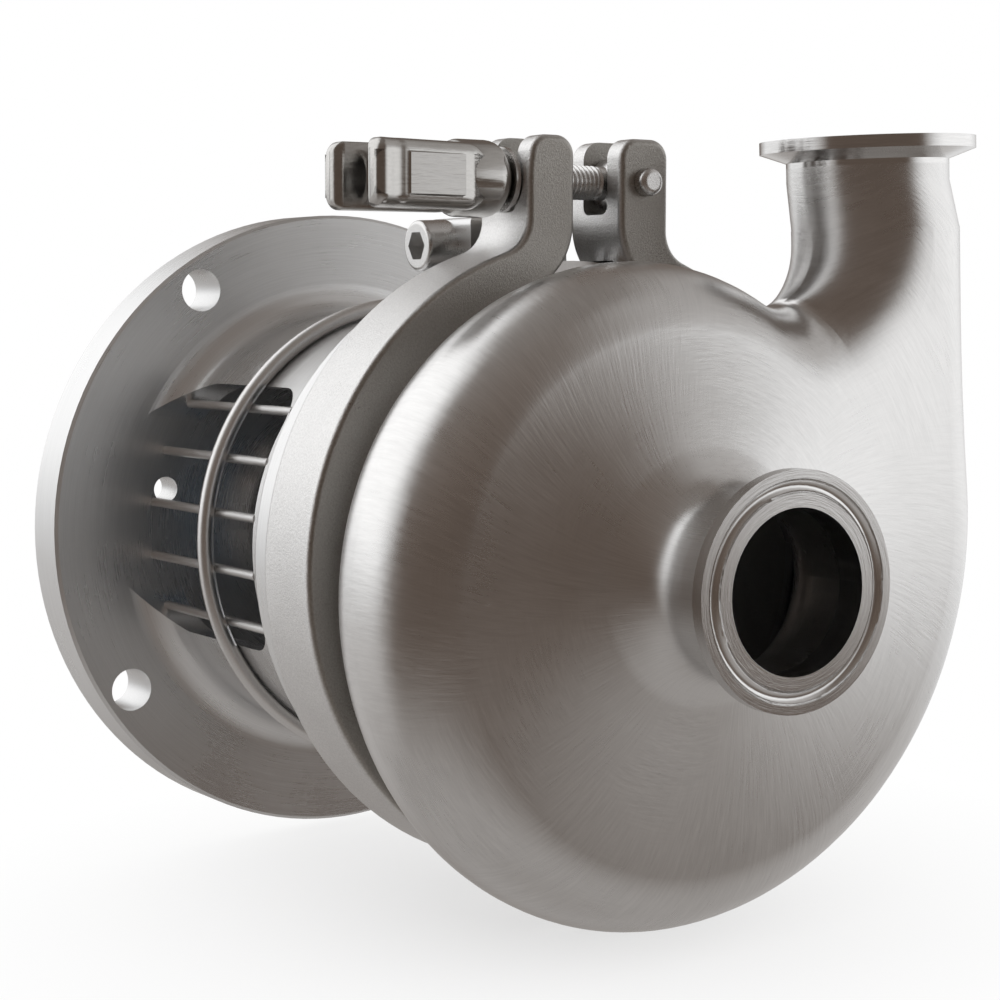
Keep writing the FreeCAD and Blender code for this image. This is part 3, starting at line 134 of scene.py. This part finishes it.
# Wing nut, in millimetres from its seat and from the bolt's axis
NUT_SEAT_X = -0.0183            # metres
NUT_R = 8.7
NUT_NOSE_R = 4.6
NUT_RIM_R = 2.6
NUT_THREAD_LENGTH = 14.0
NUT_LENGTH = 31.0
NUT_RELIEF_R = 5.4
NUT_TAIL_R = 7.0
NUT_SEGMENTS = 72
THREAD_BORE_R = 4.08
BARREL_END = (5.0, 13.0)        # where a wing grows out of the barrel
BARREL_DROP = 2.0               # how far below its own line the wing starts
BARREL_SHARE = 0.72             # the wing's height where it starts, as a share of its full height
WING_START = 10.0
WING_END = 38.7
WING_SPREAD = 12.8
WING_THICK = 6.3
WING_HEIGHT = 15.0
WING_ROOT_OUTER = 8.9
WING_ROOT_INNER = 4.2
PAD_START = 15.4
PAD_END = 30.6
PAD_EDGE = 0.5
PAD_HALF = 4.4
PAD_RISE = 0.35
PAD_TURN = 0.115                # how much less than the wing the pad slopes
BEAD_DIP = 0.4                  # the wing dips this far before the bead at its tip
DIP_DOWN = (30.6, 32.8)
DIP_UP = (33.2, 36.3)
TIP_R = 2.5
TIP_DRAW = 0.8                  # share of the tip's rounding by which the wing gets thinner
OUTER_EDGE_R = 2.75
INNER_EDGE_R = 0.7

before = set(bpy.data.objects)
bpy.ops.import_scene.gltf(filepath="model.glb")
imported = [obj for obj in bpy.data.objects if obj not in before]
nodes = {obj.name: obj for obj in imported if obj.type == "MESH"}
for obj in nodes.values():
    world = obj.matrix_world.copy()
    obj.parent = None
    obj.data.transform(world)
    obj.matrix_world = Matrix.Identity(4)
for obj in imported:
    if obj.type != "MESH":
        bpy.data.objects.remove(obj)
cad_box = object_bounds()
scene = bpy.context.scene


def look():
    """Camera at the photograph's place, with its roll."""
    azimuth = math.radians(CAMERA_AZIMUTH_DEG)
    elevation = math.radians(CAMERA_ELEVATION_DEG)
    roll = math.radians(CAMERA_ROLL_DEG)
    back = Vector((math.sin(azimuth) * math.cos(elevation),
                   -math.cos(azimuth) * math.cos(elevation), math.sin(elevation)))
    flat_right = Vector((math.cos(azimuth), math.sin(azimuth), 0))
    flat_up = back.cross(flat_right)
    right = flat_right * math.cos(roll) + flat_up * math.sin(roll)
    up = flat_up * math.cos(roll) - flat_right * math.sin(roll)
    data = bpy.data.cameras.new("photo_camera")
    data.sensor_width = SENSOR_MM
    data.lens = FOCAL_PIXELS / IMAGE_PIXELS * SENSOR_MM
    data.clip_start = 0.01
    data.clip_end = 200.0
    camera = bpy.data.objects.new("photo_camera", data)
    scene.collection.objects.link(camera)
    turn = Matrix((right, up, back)).transposed().to_4x4()
    camera.matrix_world = Matrix.Translation(CAMERA_AT) @ turn
    scene.camera = camera


look()
scene.view_settings.view_transform = "Standard"


class Nodes:
    """Short way to add shader nodes and link them."""

    def __init__(self, tree):
        self.tree = tree
        tree.nodes.clear()

    def add(self, kind, props=None, **inputs):
        """New node with its settings, and values or links for its inputs."""
        node = self.tree.nodes.new(kind)
        for name, value in (props or {}).items():
            setattr(node, name, value)
        for name, value in inputs.items():
            self.set(node, name.replace("_", " "), value)
        return node

    def set(self, node, name, value):
        """Give an input, by its name or number, a value or a link."""
        socket = node.inputs[int(name)] if name.isdigit() else node.inputs[name]
        if isinstance(value, bpy.types.NodeSocket):
            self.tree.links.new(value, socket)
        else:
            socket.default_value = value

    def math(self, operation, first, second=0.0):
        """Maths on one or two numbers."""
        node = self.add("ShaderNodeMath", {"operation": operation})
        self.set(node, "0", first)
        self.set(node, "1", second)
        return node.outputs[0]

    def vector(self, operation, first, second=None):
        """Vector maths on one or two vectors, or a vector and a scale."""
        node = self.add("ShaderNodeVectorMath", {"operation": operation})
        self.set(node, "0", first)
        if second is not None:
            self.set(node, "Scale" if operation == "SCALE" else "1", second)
        return node.outputs["Value"] if operation == "DOT_PRODUCT" else node.outputs[0]

    def parts(self, vector):
        """The x, y and z of a vector."""
        return self.add("ShaderNodeSeparateXYZ", Vector=vector).outputs

    def shaders(self, share, first, second):
        """Mix two shaders."""
        node = self.add("ShaderNodeMixShader", Fac=share)
        self.tree.links.new(first.outputs[0], node.inputs[1])
        self.tree.links.new(second.outputs[0], node.inputs[2])
        return node.outputs[0]

    def spread(self, value, low, high, to_low=0.0, to_high=1.0):
        """Map a value's range onto another, held at its ends."""
        node = self.add("ShaderNodeMapRange", {"clamp": True})
        for name, amount in zip(("Value", "From Min", "From Max", "To Min", "To Max"),
                                (value, low, high, to_low, to_high)):
            self.set(node, name, amount)
        return node.outputs[0]

    def mix(self, share, first, second):
        """Mix two numbers."""
        return self.add("ShaderNodeMix", {"data_type": "FLOAT"}, Factor=share, A=first, B=second).outputs[0]

    def blend(self, share, first, second):
        """Mix two colours."""
        node = self.add("ShaderNodeMix", {"data_type": "RGBA"})
        for name, value in (("0", share), ("6", first), ("7", second)):
            self.set(node, name, value)
        return node.outputs[2]

    def noise(self, vector, scale, detail=2.0, rough=0.5):
        """Cloudy noise, mostly from 0.3 to 0.7."""
        node = self.add("ShaderNodeTexNoise", Vector=vector, Scale=scale, Detail=detail, Roughness=rough)
        return node.outputs[0]

    def ramp(self, value, stops, low, high):
        """Value drawn through stops of (place, height), as greys."""
        share = self.spread(value, low, high)
        node = self.add("ShaderNodeValToRGB", Fac=share)
        band = node.color_ramp
        band.interpolation = "LINEAR"
        places = [((place - low) / (high - low), level) for place, level in stops]
        while len(band.elements) < len(places):
            band.elements.new(0.5)
        for element, (place, level) in zip(band.elements, places):
            element.position = place
            element.color = (level, level, level, 1.0)
        return node.outputs[0]


def material(name):
    """New material and the helper for its nodes."""
    made = bpy.data.materials.new(name)
    made.use_nodes = True
    return made, Nodes(made.node_tree)


def place_of(n):
    """Rest place of the surface in metres: every frame mesh sits at the origin."""
    return n.add("ShaderNodeTexCoord").outputs["Object"]


def polar(n, vector, centre, axis):
    """Radius, angle and depth about an axis through a centre."""
    parts = n.parts(n.vector("SUBTRACT", vector, centre))
    along = "XYZ".index(axis)
    first, second = [parts[k] for k in range(3) if k != along]
    square = n.math("ADD", n.math("MULTIPLY", first, first), n.math("MULTIPLY", second, second))
    return n.math("SQRT", square), n.math("ARCTAN2", second, first), parts[along]


def round_marks(n, kind, radius, angle, depth):
    """Noise drawn out round an axis."""
    straight, around, detail, rough = ROUND_MARKS[kind]
    place = n.add("ShaderNodeCombineXYZ", X=n.math("MULTIPLY", radius, straight),
                  Y=n.math("MULTIPLY", angle, around), Z=n.math("MULTIPLY", depth, straight)).outputs[0]
    return n.noise(place, ROUND_MARK_SCALE, detail, rough)


def fine_lines(n, kind, place, centre, axis="Y"):
    """Height of the surface's fine tool marks, from 0 to 1."""
    if kind in EVEN_MARKS:
        stretch, scale, detail, rough = EVEN_MARKS[kind]
        return n.noise(n.vector("MULTIPLY", place, stretch), scale, detail, rough)
    radius, angle, depth = polar(n, place, centre, axis)
    if kind == "turned":
        return round_marks(n, "turned", radius, angle, depth)
    # Hand-brushed: strokes that lean away from the centre, with short arcs here and there
    swirl = n.math("ADD", angle, n.math("MULTIPLY", radius, SWIRL))
    strokes = round_marks(n, "stroke", radius, swirl, depth)
    arcs = round_marks(n, "arc", radius, angle, depth)
    return n.mix(n.spread(n.noise(place, ARC_PATCH_SCALE), *ARC_PATCHES), strokes, arcs)


def pressed_front(n, place):
    """Normal of the casing. Its thin front is pressed slightly domed, so it leans out from the shaft axis by
    at least FRONT_LEAN, and at the inlet's root by no more than ROOT_LEAN. Its outlet's neck stands upright."""
    normal = n.add("ShaderNodeNewGeometry").outputs["Normal"]
    across, _, height = n.parts(place)
    radius, _, depth = polar(n, place, (0, 0, 0), "Y")
    out = n.vector("NORMALIZE", n.vector("MULTIPLY", place, (1.0, 0.0, 1.0)))
    lean = n.vector("DOT_PRODUCT", normal, out)
    most = n.spread(radius, *ROOT_FADE, ROOT_LEAN, 1.0)
    least = n.spread(radius, ROOT_FADE[0], LEAN_EVEN_R, ROOT_LEAST, FRONT_LEAN)
    wanted = n.math("MINIMUM", n.math("MAXIMUM", lean, least), most)
    lacking = n.math("MULTIPLY", n.math("SUBTRACT", wanted, lean), n.spread(depth, *INLET_FADE))
    share = n.math("MULTIPLY", n.spread(height, *FRONT_FADE, 1.0, 0.0),
                   n.spread(n.parts(normal)[1], *FRONT_FACING, 1.0, 0.0))
    domed = n.vector("ADD", normal, n.vector("SCALE", out, n.math("MULTIPLY", lacking, share)))
    upright = n.math("MULTIPLY", n.spread(height, *NECK_FADE, 0.0, NECK_SHARE), n.spread(across, *NECK_SIDE))
    upright = n.math("MULTIPLY", upright, n.spread(height, *NECK_TOP, 1.0, 0.0))
    level = n.add("ShaderNodeCombineXYZ", X=1.0, Y=1.0, Z=n.math("SUBTRACT", 1.0, upright)).outputs[0]
    return n.vector("NORMALIZE", n.vector("MULTIPLY", domed, level))


def steel(name, colour, kind, rough, rough_spread, bump, centre=(0, 0, 0), streak=0.07, casing=False,
          metal=1.0, painted_shade=None):
    """Stainless steel with its tool marks and cloudy patches of a slightly darker, uneven tone. The casing
    has its pressed shape and turned ferrules. A casting may get painted shade: two darker tones on the
    faces that look along the shaft."""
    made, n = material(name)
    place = place_of(n)
    lines = fine_lines(n, kind, place, centre)
    if casing:
        _, y, z = n.parts(place)
        at_outlet = n.spread(z, FERRULE_OUTLET, FERRULE_OUTLET + FERRULE_EDGE)
        ferrule = n.math("MAXIMUM", n.spread(y, FERRULE_INLET, FERRULE_INLET - FERRULE_EDGE), at_outlet)
        rings = n.mix(at_outlet, fine_lines(n, "turned", place, (0, 0, 0)),
                      fine_lines(n, "turned", place, OUTLET_CENTRE, "Z"))
        lines = n.mix(ferrule, lines, rings)
    clouds = n.noise(place, CLOUD_SCALE, 4.0, 0.6)
    share = n.math("ADD", n.math("MULTIPLY", n.spread(lines, 0.25, 0.75), 1 - CLOUD_SHARE),
                   n.math("MULTIPLY", n.spread(clouds, 0.3, 0.7), CLOUD_SHARE))
    roughness = n.spread(n.math("ADD", clouds, n.math("MULTIPLY", lines, 0.5)), 0.5, 1.0,
                         rough - rough_spread, rough + rough_spread)
    dark = tuple(c * (1 - streak) for c in colour) + (1.0,)
    pale = tuple(min(1.0, c * (1 + streak)) for c in colour) + (1.0,)
    tone = n.blend(share, dark, pale)
    relief = n.add("ShaderNodeBump", Strength=bump, Distance=MARK_DEPTH, Height=lines)
    # Painted shade: faces that look along the shaft get two darker tones, standing in for the shadow there
    if painted_shade:
        facing = n.parts(n.add("ShaderNodeNewGeometry").outputs["Normal"])[1]
        tone = n.blend(n.spread(n.math("ABSOLUTE", facing), *SHADE_FACING), tone, n.blend(share, *painted_shade))
    if casing:
        n.set(relief, "Normal", pressed_front(n, place))
        n.set(relief, "Strength", n.spread(ferrule, 0.0, 1.0, bump, bump * FERRULE_BUMP))
        roughness = n.math("MULTIPLY", roughness, n.spread(ferrule, 0.0, 1.0, 1.0, FERRULE_SMOOTH))
    shader = n.add("ShaderNodeBsdfPrincipled", Base_Color=tone, Metallic=metal, Roughness=roughness,
                   Normal=relief.outputs[0])
    n.add("ShaderNodeOutputMaterial", Surface=shader.outputs[0])
    return made


def rubber(name, colour, rough=0.6):
    """Moulded rubber or carbon: fine grain and faint pale dust."""
    made, n = material(name)
    place = place_of(n)
    grain = n.noise(place, 2500.0, 3.0, 0.6)
    dust = n.spread(n.noise(place, 90.0, 4.0, 0.6), 0.45, 0.8)
    pale = tuple(min(1.0, c * 1.5 + 0.03) for c in colour) + (1.0,)
    tone = n.blend(dust, colour + (1.0,), pale)
    normal = n.add("ShaderNodeBump", Strength=0.3, Distance=0.0001, Height=grain).outputs[0]
    roughness = n.spread(grain, 0.2, 0.8, rough - 0.1, rough + 0.1)
    shader = n.add("ShaderNodeBsdfPrincipled", Base_Color=tone, Roughness=roughness, Normal=normal)
    n.add("ShaderNodeOutputMaterial", Surface=shader.outputs[0])
    return made


def dress(made, *names):
    """Give frame nodes a material."""
    for name in names:
        data = nodes[name].data
        data.materials.clear()
        data.materials.append(made)


dress(steel("casing_steel", (0.69, 0.685, 0.68), "brushed", 0.29, 0.04, 0.34, CASING_CENTRE, streak=0.11,
            casing=True), "casing")
dress(steel("impeller_steel", (0.62, 0.61, 0.60), "blasted", 0.36, 0.05, 0.35, metal=0.8), "impeller")
dress(steel("turned_steel", (0.68, 0.68, 0.68), "turned", 0.29, 0.05, 0.25, streak=0.08, metal=0.92),
      "backplate", "adapter", "stub_shaft", "shaft_collar_upper", "shaft_collar_lower", "seal_cup")
# The clamp's painted shade: two darker tones on the faces that look along the shaft
dress(steel("clamp_steel", (0.68, 0.675, 0.67), "blasted", 0.33, 0.07, 1.0, streak=0.24,
            painted_shade=((0.28, 0.265, 0.245, 1.0), (0.52, 0.505, 0.48, 1.0))), "clamp_half_left", "clamp_half_right")
fastener = steel("fastener_steel", (0.66, 0.655, 0.65), "blasted", 0.28, 0.05, 0.30)
dress(fastener, "adapter_pinch_screw", "clamp_hinge_pin", "swing_bolt_pin", "nut_washer", "impeller_key",
      "collar_screws", "swing_bolt")
bright = steel("bright_steel", (0.50, 0.49, 0.475), "polished", 0.20, 0.04, 0.3)
dress(bright, "wing_nut", "impeller_nut")
dress(steel("wire_steel", (0.72, 0.715, 0.71), "drawn", 0.36, 0.05, 0.15),
      "guard_hoop", "guard_bars", "seal_spring")
dress(rubber("seal_rubber", (0.045, 0.045, 0.05)), "casing_gasket", "impeller_nut_ring", "seal_o_ring")
dress(rubber("blue_rubber", (0.06, 0.11, 0.17)), "deflector")
dress(rubber("carbon", (0.06, 0.06, 0.065), 0.4), "carbon_seal")


def in_clamp(point):
    """A point of the clamp's upright frame, in the pump's frame."""
    turn = math.radians(CLAMP_TURN_DEG)
    x, y, z = point
    return (x * math.cos(turn) + z * math.sin(turn), y, z * math.cos(turn) - x * math.sin(turn))


def mesh_piece(name, bm, body, made, smooth_deg=35.0):
    """Object of a finished mesh that rides on a body and takes the given material."""
    bmesh.ops.remove_doubles(bm, verts=bm.verts, dist=1e-6)
    bmesh.ops.dissolve_degenerate(bm, edges=bm.edges, dist=1e-6)
    bmesh.ops.recalc_face_normals(bm, faces=bm.faces)
    mesh = bpy.data.meshes.new(name)
    bm.to_mesh(mesh)
    bm.free()
    for polygon in mesh.polygons:
        polygon.use_smooth = True
    mesh.set_sharp_from_angle(angle=math.radians(smooth_deg))
    mesh.materials.append(made)
    piece = bpy.data.objects.new(name, mesh)
    scene.collection.objects.link(piece)
    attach(piece, body)
    return piece


def revolved(bm, profile, place, segments):
    """Closed ring of revolution. place gives the point of a profile's two numbers at an angle."""
    rings = []
    for step in range(segments):
        angle = 2 * math.pi * step / segments
        rings.append([bm.verts.new(place(first, second, angle)) for first, second in profile])
    count = len(profile)
    for step in range(segments):
        here, after = rings[step], rings[(step + 1) % segments]
        for k in range(count):
            bm.faces.new((here[k], here[(k + 1) % count], after[(k + 1) % count], after[k]))


def thread_radius(share):
    """Radius of the thread at a share of its pitch: flat crest, sloped flanks, flat root."""
    rise = abs(share - 0.5) * 2
    root, flank = THREAD_SHAPE
    return THREAD_ROOT_R + (THREAD_R - THREAD_ROOT_R) * min(1.0, max(0.0, (rise - root) / flank))


def on_bolt(run, radius, angle):
    """A point of the swing bolt: distance from its eye, and radius and angle about its axis."""
    x, y, z = BOLT_EYE
    return in_clamp((x - run, y + radius * math.cos(angle), z + radius * math.sin(angle)))


def on_eye(radius, depth, angle):
    """A point of the bolt's eye: radius, depth and angle about the eye's axis."""
    x, y, z = BOLT_EYE
    return in_clamp((x + radius * math.cos(angle), y + depth, z + radius * math.sin(angle)))


def thread(bm, start, end):
    """Helical thread that grows out of the shank and ends in a chamfered tip."""
    rows = int(THREAD_LENGTH / THREAD_PITCH * ROWS_PER_PITCH) + 2 * ROWS_PER_PITCH
    grid = []
    for k in range(rows):
        line = []
        for j in range(BOLT_SEGMENTS):
            turn = j / BOLT_SEGMENTS
            run = start + (k / ROWS_PER_PITCH - 1 + turn) * THREAD_PITCH
            grown = min(1.0, max(0.0, (run - start) / (THREAD_START * THREAD_PITCH)))
            radius = SHANK_R + (thread_radius((k / ROWS_PER_PITCH) % 1.0) - SHANK_R) * grown
            radius = min(radius, THREAD_TIP_R + max(0.0, end - run))
            line.append(bm.verts.new(on_bolt(min(max(run, start), end), radius, 2 * math.pi * turn)))
        grid.append(line)
    for k in range(rows - 1):
        for j in range(BOLT_SEGMENTS - 1):
            bm.faces.new((grid[k][j], grid[k + 1][j], grid[k + 1][j + 1], grid[k][j + 1]))
        if k + ROWS_PER_PITCH + 1 < rows:
            later = k + ROWS_PER_PITCH
            bm.faces.new((grid[k][-1], grid[k + 1][-1], grid[later + 1][0], grid[later][0]))
    bm.faces.new([bm.verts.new(on_bolt(end, THREAD_TIP_R, 2 * math.pi * j / BOLT_SEGMENTS))
                  for j in range(BOLT_SEGMENTS)])


def swing_bolt():
    """Eye bolt with a real helical thread, in place of the plain one."""
    bm = bmesh.new()
    soft, edge = EYE_SOFT, EYE_THICK / 2
    side = [(EYE_BORE_R, edge - soft / 2), (EYE_BORE_R + soft / 2, edge), (EYE_R - soft, edge),
            (EYE_R - soft * 0.3, edge - soft * 0.3), (EYE_R, edge - soft)]
    revolved(bm, [(r, -h) for r, h in side] + side[::-1], on_eye, EYE_SEGMENTS)
    thread(bm, SHANK_LENGTH, SHANK_LENGTH + THREAD_LENGTH)
    first, last = EYE_R * 0.8, SHANK_LENGTH + THREAD_PITCH * 0.05
    shank = [(SHANK_INNER_R, first), (SHANK_R, first), (SHANK_R, last), (SHANK_INNER_R, last)]
    revolved(bm, shank, lambda r, h, a: on_bolt(h, r, a), BOLT_SEGMENTS)
    piece = mesh_piece("bolt_with_thread", bm, "bolt", fastener)
    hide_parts("swing_bolt")


swing_bolt()


def on_nut(along, across, up):
    """A point of the wing nut: distances in mm from its seat, outwards along the bolt."""
    return in_clamp((NUT_SEAT_X - along / 1000, BOLT_EYE[1] + across / 1000, BOLT_EYE[2] + up / 1000))


def arc(centre, radius, start_deg, end_deg, steps):
    """Points of an arc about a centre, in the plane of a section."""
    points = []
    for k in range(steps + 1):
        turn = math.radians(start_deg + (end_deg - start_deg) * k / steps)
        points.append((centre[0] + radius * math.cos(turn), centre[1] + radius * math.sin(turn)))
    return points


def eased(value, low, high):
    """Smooth step from 0 at low to 1 at high."""
    share = min(1.0, max(0.0, (value - low) / (high - low)))
    return share * share * (3 - 2 * share)


def wing_section(along):
    """Section of a wing across the bolt: rounded outer edges, a raised pad, a bead near the tip."""
    run = max(0.0, (along - WING_START) / (WING_END - WING_START))
    grown = eased(along, *BARREL_END)
    outer = WING_ROOT_OUTER + (WING_SPREAD - WING_ROOT_OUTER) * run
    inner = WING_ROOT_INNER + (WING_SPREAD - WING_THICK - WING_ROOT_INNER) * run
    pad = PAD_RISE + max(0.0, PAD_END - along) * PAD_TURN
    pad *= eased(along, PAD_START, PAD_START + PAD_EDGE) * (1 - eased(along, PAD_END - PAD_EDGE, PAD_END))
    dip = BEAD_DIP * eased(along, *DIP_DOWN) * (1 - eased(along, *DIP_UP))
    past = max(0.0, along - (WING_END - TIP_R)) / TIP_R
    back = TIP_R * (1 - math.sqrt(max(0.0, 1 - past * past)))
    half = (WING_HEIGHT / 2 - back) * (BARREL_SHARE + (1 - BARREL_SHARE) * grown)
    base = outer - PAD_RISE - dip - back * TIP_DRAW - BARREL_DROP * (1 - grown)
    inner += back * TIP_DRAW
    soft = min(OUTER_EDGE_R, base - inner - 0.4)
    small = min(INNER_EDGE_R, (base - inner) / 4)
    top = [(base + pad, PAD_HALF), (base, PAD_HALF + 0.35)]
    top += arc((base - soft, half - soft), soft, 0, 90, 7)
    top += arc((inner + small, half - small), small, 90, 180, 4)
    return top + [(y, -z) for y, z in reversed(top)]


def wing_stations():
    """Distances from the seat at which a wing has a section."""
    places = [BARREL_END[0] + 0.8 * k for k in range(12)]
    places += [PAD_START + rise for rise in (0.0, 0.17, 0.33, PAD_EDGE)] + [20.0, 25.0]
    places += [PAD_END - fall for fall in (PAD_EDGE, 0.33, 0.17, 0.0)]
    places += [PAD_END + 0.5 * k for k in range(1, 13) if PAD_END + 0.5 * k < WING_END - TIP_R]
    return places + [WING_END - TIP_R + TIP_R * math.sin(math.radians(6 * k)) for k in range(15)]


def wing_nut():
    """Wing nut with a rounded barrel and two padded wings, in place of the plain one."""
    bm = bmesh.new()
    nose, rim, tail = NUT_NOSE_R, NUT_THREAD_LENGTH, NUT_TAIL_R
    barrel = arc((nose, NUT_R - nose), nose, 180, 90, 8)
    barrel += arc((rim - NUT_RIM_R, NUT_R - NUT_RIM_R), NUT_RIM_R, 90, 25, 5)
    barrel += [(rim + 0.4, tail + 0.15), (rim + 1.0, tail), (NUT_LENGTH - 0.5, tail), (NUT_LENGTH, tail - 0.5),
               (NUT_LENGTH, NUT_RELIEF_R + 0.3), (NUT_LENGTH - 0.3, NUT_RELIEF_R), (rim, NUT_RELIEF_R),
               (rim - 1.2, THREAD_BORE_R), (0.8, THREAD_BORE_R), (0.0, THREAD_BORE_R + 0.8)]
    revolved(bm, barrel, lambda x, r, a: on_nut(x, r * math.cos(a), r * math.sin(a)), NUT_SEGMENTS)
    for side in (-1, 1):
        rings = [[bm.verts.new(on_nut(along, side * y, z)) for y, z in wing_section(along)]
                 for along in wing_stations()]
        for here, after in zip(rings, rings[1:]):
            for k in range(len(here)):
                m = (k + 1) % len(here)
                bm.faces.new((here[k], here[m], after[m], after[k]))
        bm.faces.new(rings[0])
        bm.faces.new(rings[-1])
    piece = mesh_piece("wing_nut_cast", bm, "nut", bright, 28.0)
    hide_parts("wing_nut")


wing_nut()


def studio():
    """World that is white for the camera and for matt surfaces. Steel reflects a studio with two bright
    walls, a dark side where the photographer stands, a dark ceiling and a grey table."""
    world = bpy.data.worlds.new("studio")
    world.use_nodes = True
    scene.world = world
    n = Nodes(world.node_tree)
    path = n.add("ShaderNodeLightPath")
    x, y, z = n.parts(n.add("ShaderNodeTexCoord").outputs["Generated"])
    round_deg = n.math("MULTIPLY", n.math("ARCTAN2", x, n.math("MULTIPLY", y, -1.0)), 180 / math.pi)
    height_deg = n.math("MULTIPLY", n.math("ARCSINE", z), 180 / math.pi)
    rest = n.ramp(height_deg, REST_HEIGHT, -90.0, 90.0)
    left = n.math("MULTIPLY", n.ramp(round_deg, LEFT_SIDE, -180.0, 180.0),
                  n.ramp(height_deg, LEFT_HEIGHT, -90.0, 90.0))
    below = n.spread(height_deg, SLANT_END, 0.0, SLANT_END * RIGHT_SLANT, 0.0)
    right = n.math("MULTIPLY", n.ramp(n.math("ADD", round_deg, below), RIGHT_SIDE, -180.0, 180.0),
                   n.ramp(height_deg, RIGHT_HEIGHT, -90.0, 90.0))
    walls = n.math("ADD", n.math("MULTIPLY", left, LEFT_WALL), n.math("MULTIPLY", right, RIGHT_WALL))
    level = n.math("MAXIMUM", walls, rest)
    tint = TINTS[0][1]
    for (here, _), (after, colour) in zip(TINTS, TINTS[1:]):
        tint = n.blend(n.spread(level, here, after), tint, colour)
    light = n.add("ShaderNodeBackground", Color=n.vector("SCALE", tint, level), Strength=1.0)
    white = n.add("ShaderNodeBackground", Color=(1, 1, 1, 1), Strength=1.0)
    plain = n.math("MAXIMUM", path.outputs["Is Camera Ray"], path.outputs["Is Diffuse Ray"])
    n.add("ShaderNodeOutputWorld", Surface=n.shaders(plain, light, white))


def floor():
    """Pale floor that keeps the object's shadow near it and turns into the white backdrop further out."""
    half, level = FLOOR_HALF, cad_box[0][2]
    corners = [(-half, -half, level), (half, -half, level), (half, half, level), (-half, half, level)]
    mesh = bpy.data.meshes.new("floor")
    mesh.from_pydata(corners, [], [(0, 1, 2, 3)])
    plane = bpy.data.objects.new("floor", mesh)
    scene.collection.objects.link(plane)
    made, n = material("pale_floor")
    place = n.add("ShaderNodeNewGeometry").outputs["Position"]
    far = n.spread(polar(n, place, FLOOR_CENTRE, "Z")[0], *FLOOR_FADE, FLOOR_LIFT, 1.0)
    to_camera = n.math("MULTIPLY", far, n.add("ShaderNodeLightPath").outputs["Is Camera Ray"])
    near = n.add("ShaderNodeBsdfDiffuse", Color=FLOOR_COLOUR)
    white = n.add("ShaderNodeEmission", Color=(1, 1, 1, 1), Strength=1.0)
    n.add("ShaderNodeOutputMaterial", Surface=n.shaders(to_camera, near, white))
    mesh.materials.append(made)
    plane.visible_glossy = False


studio()
floor()
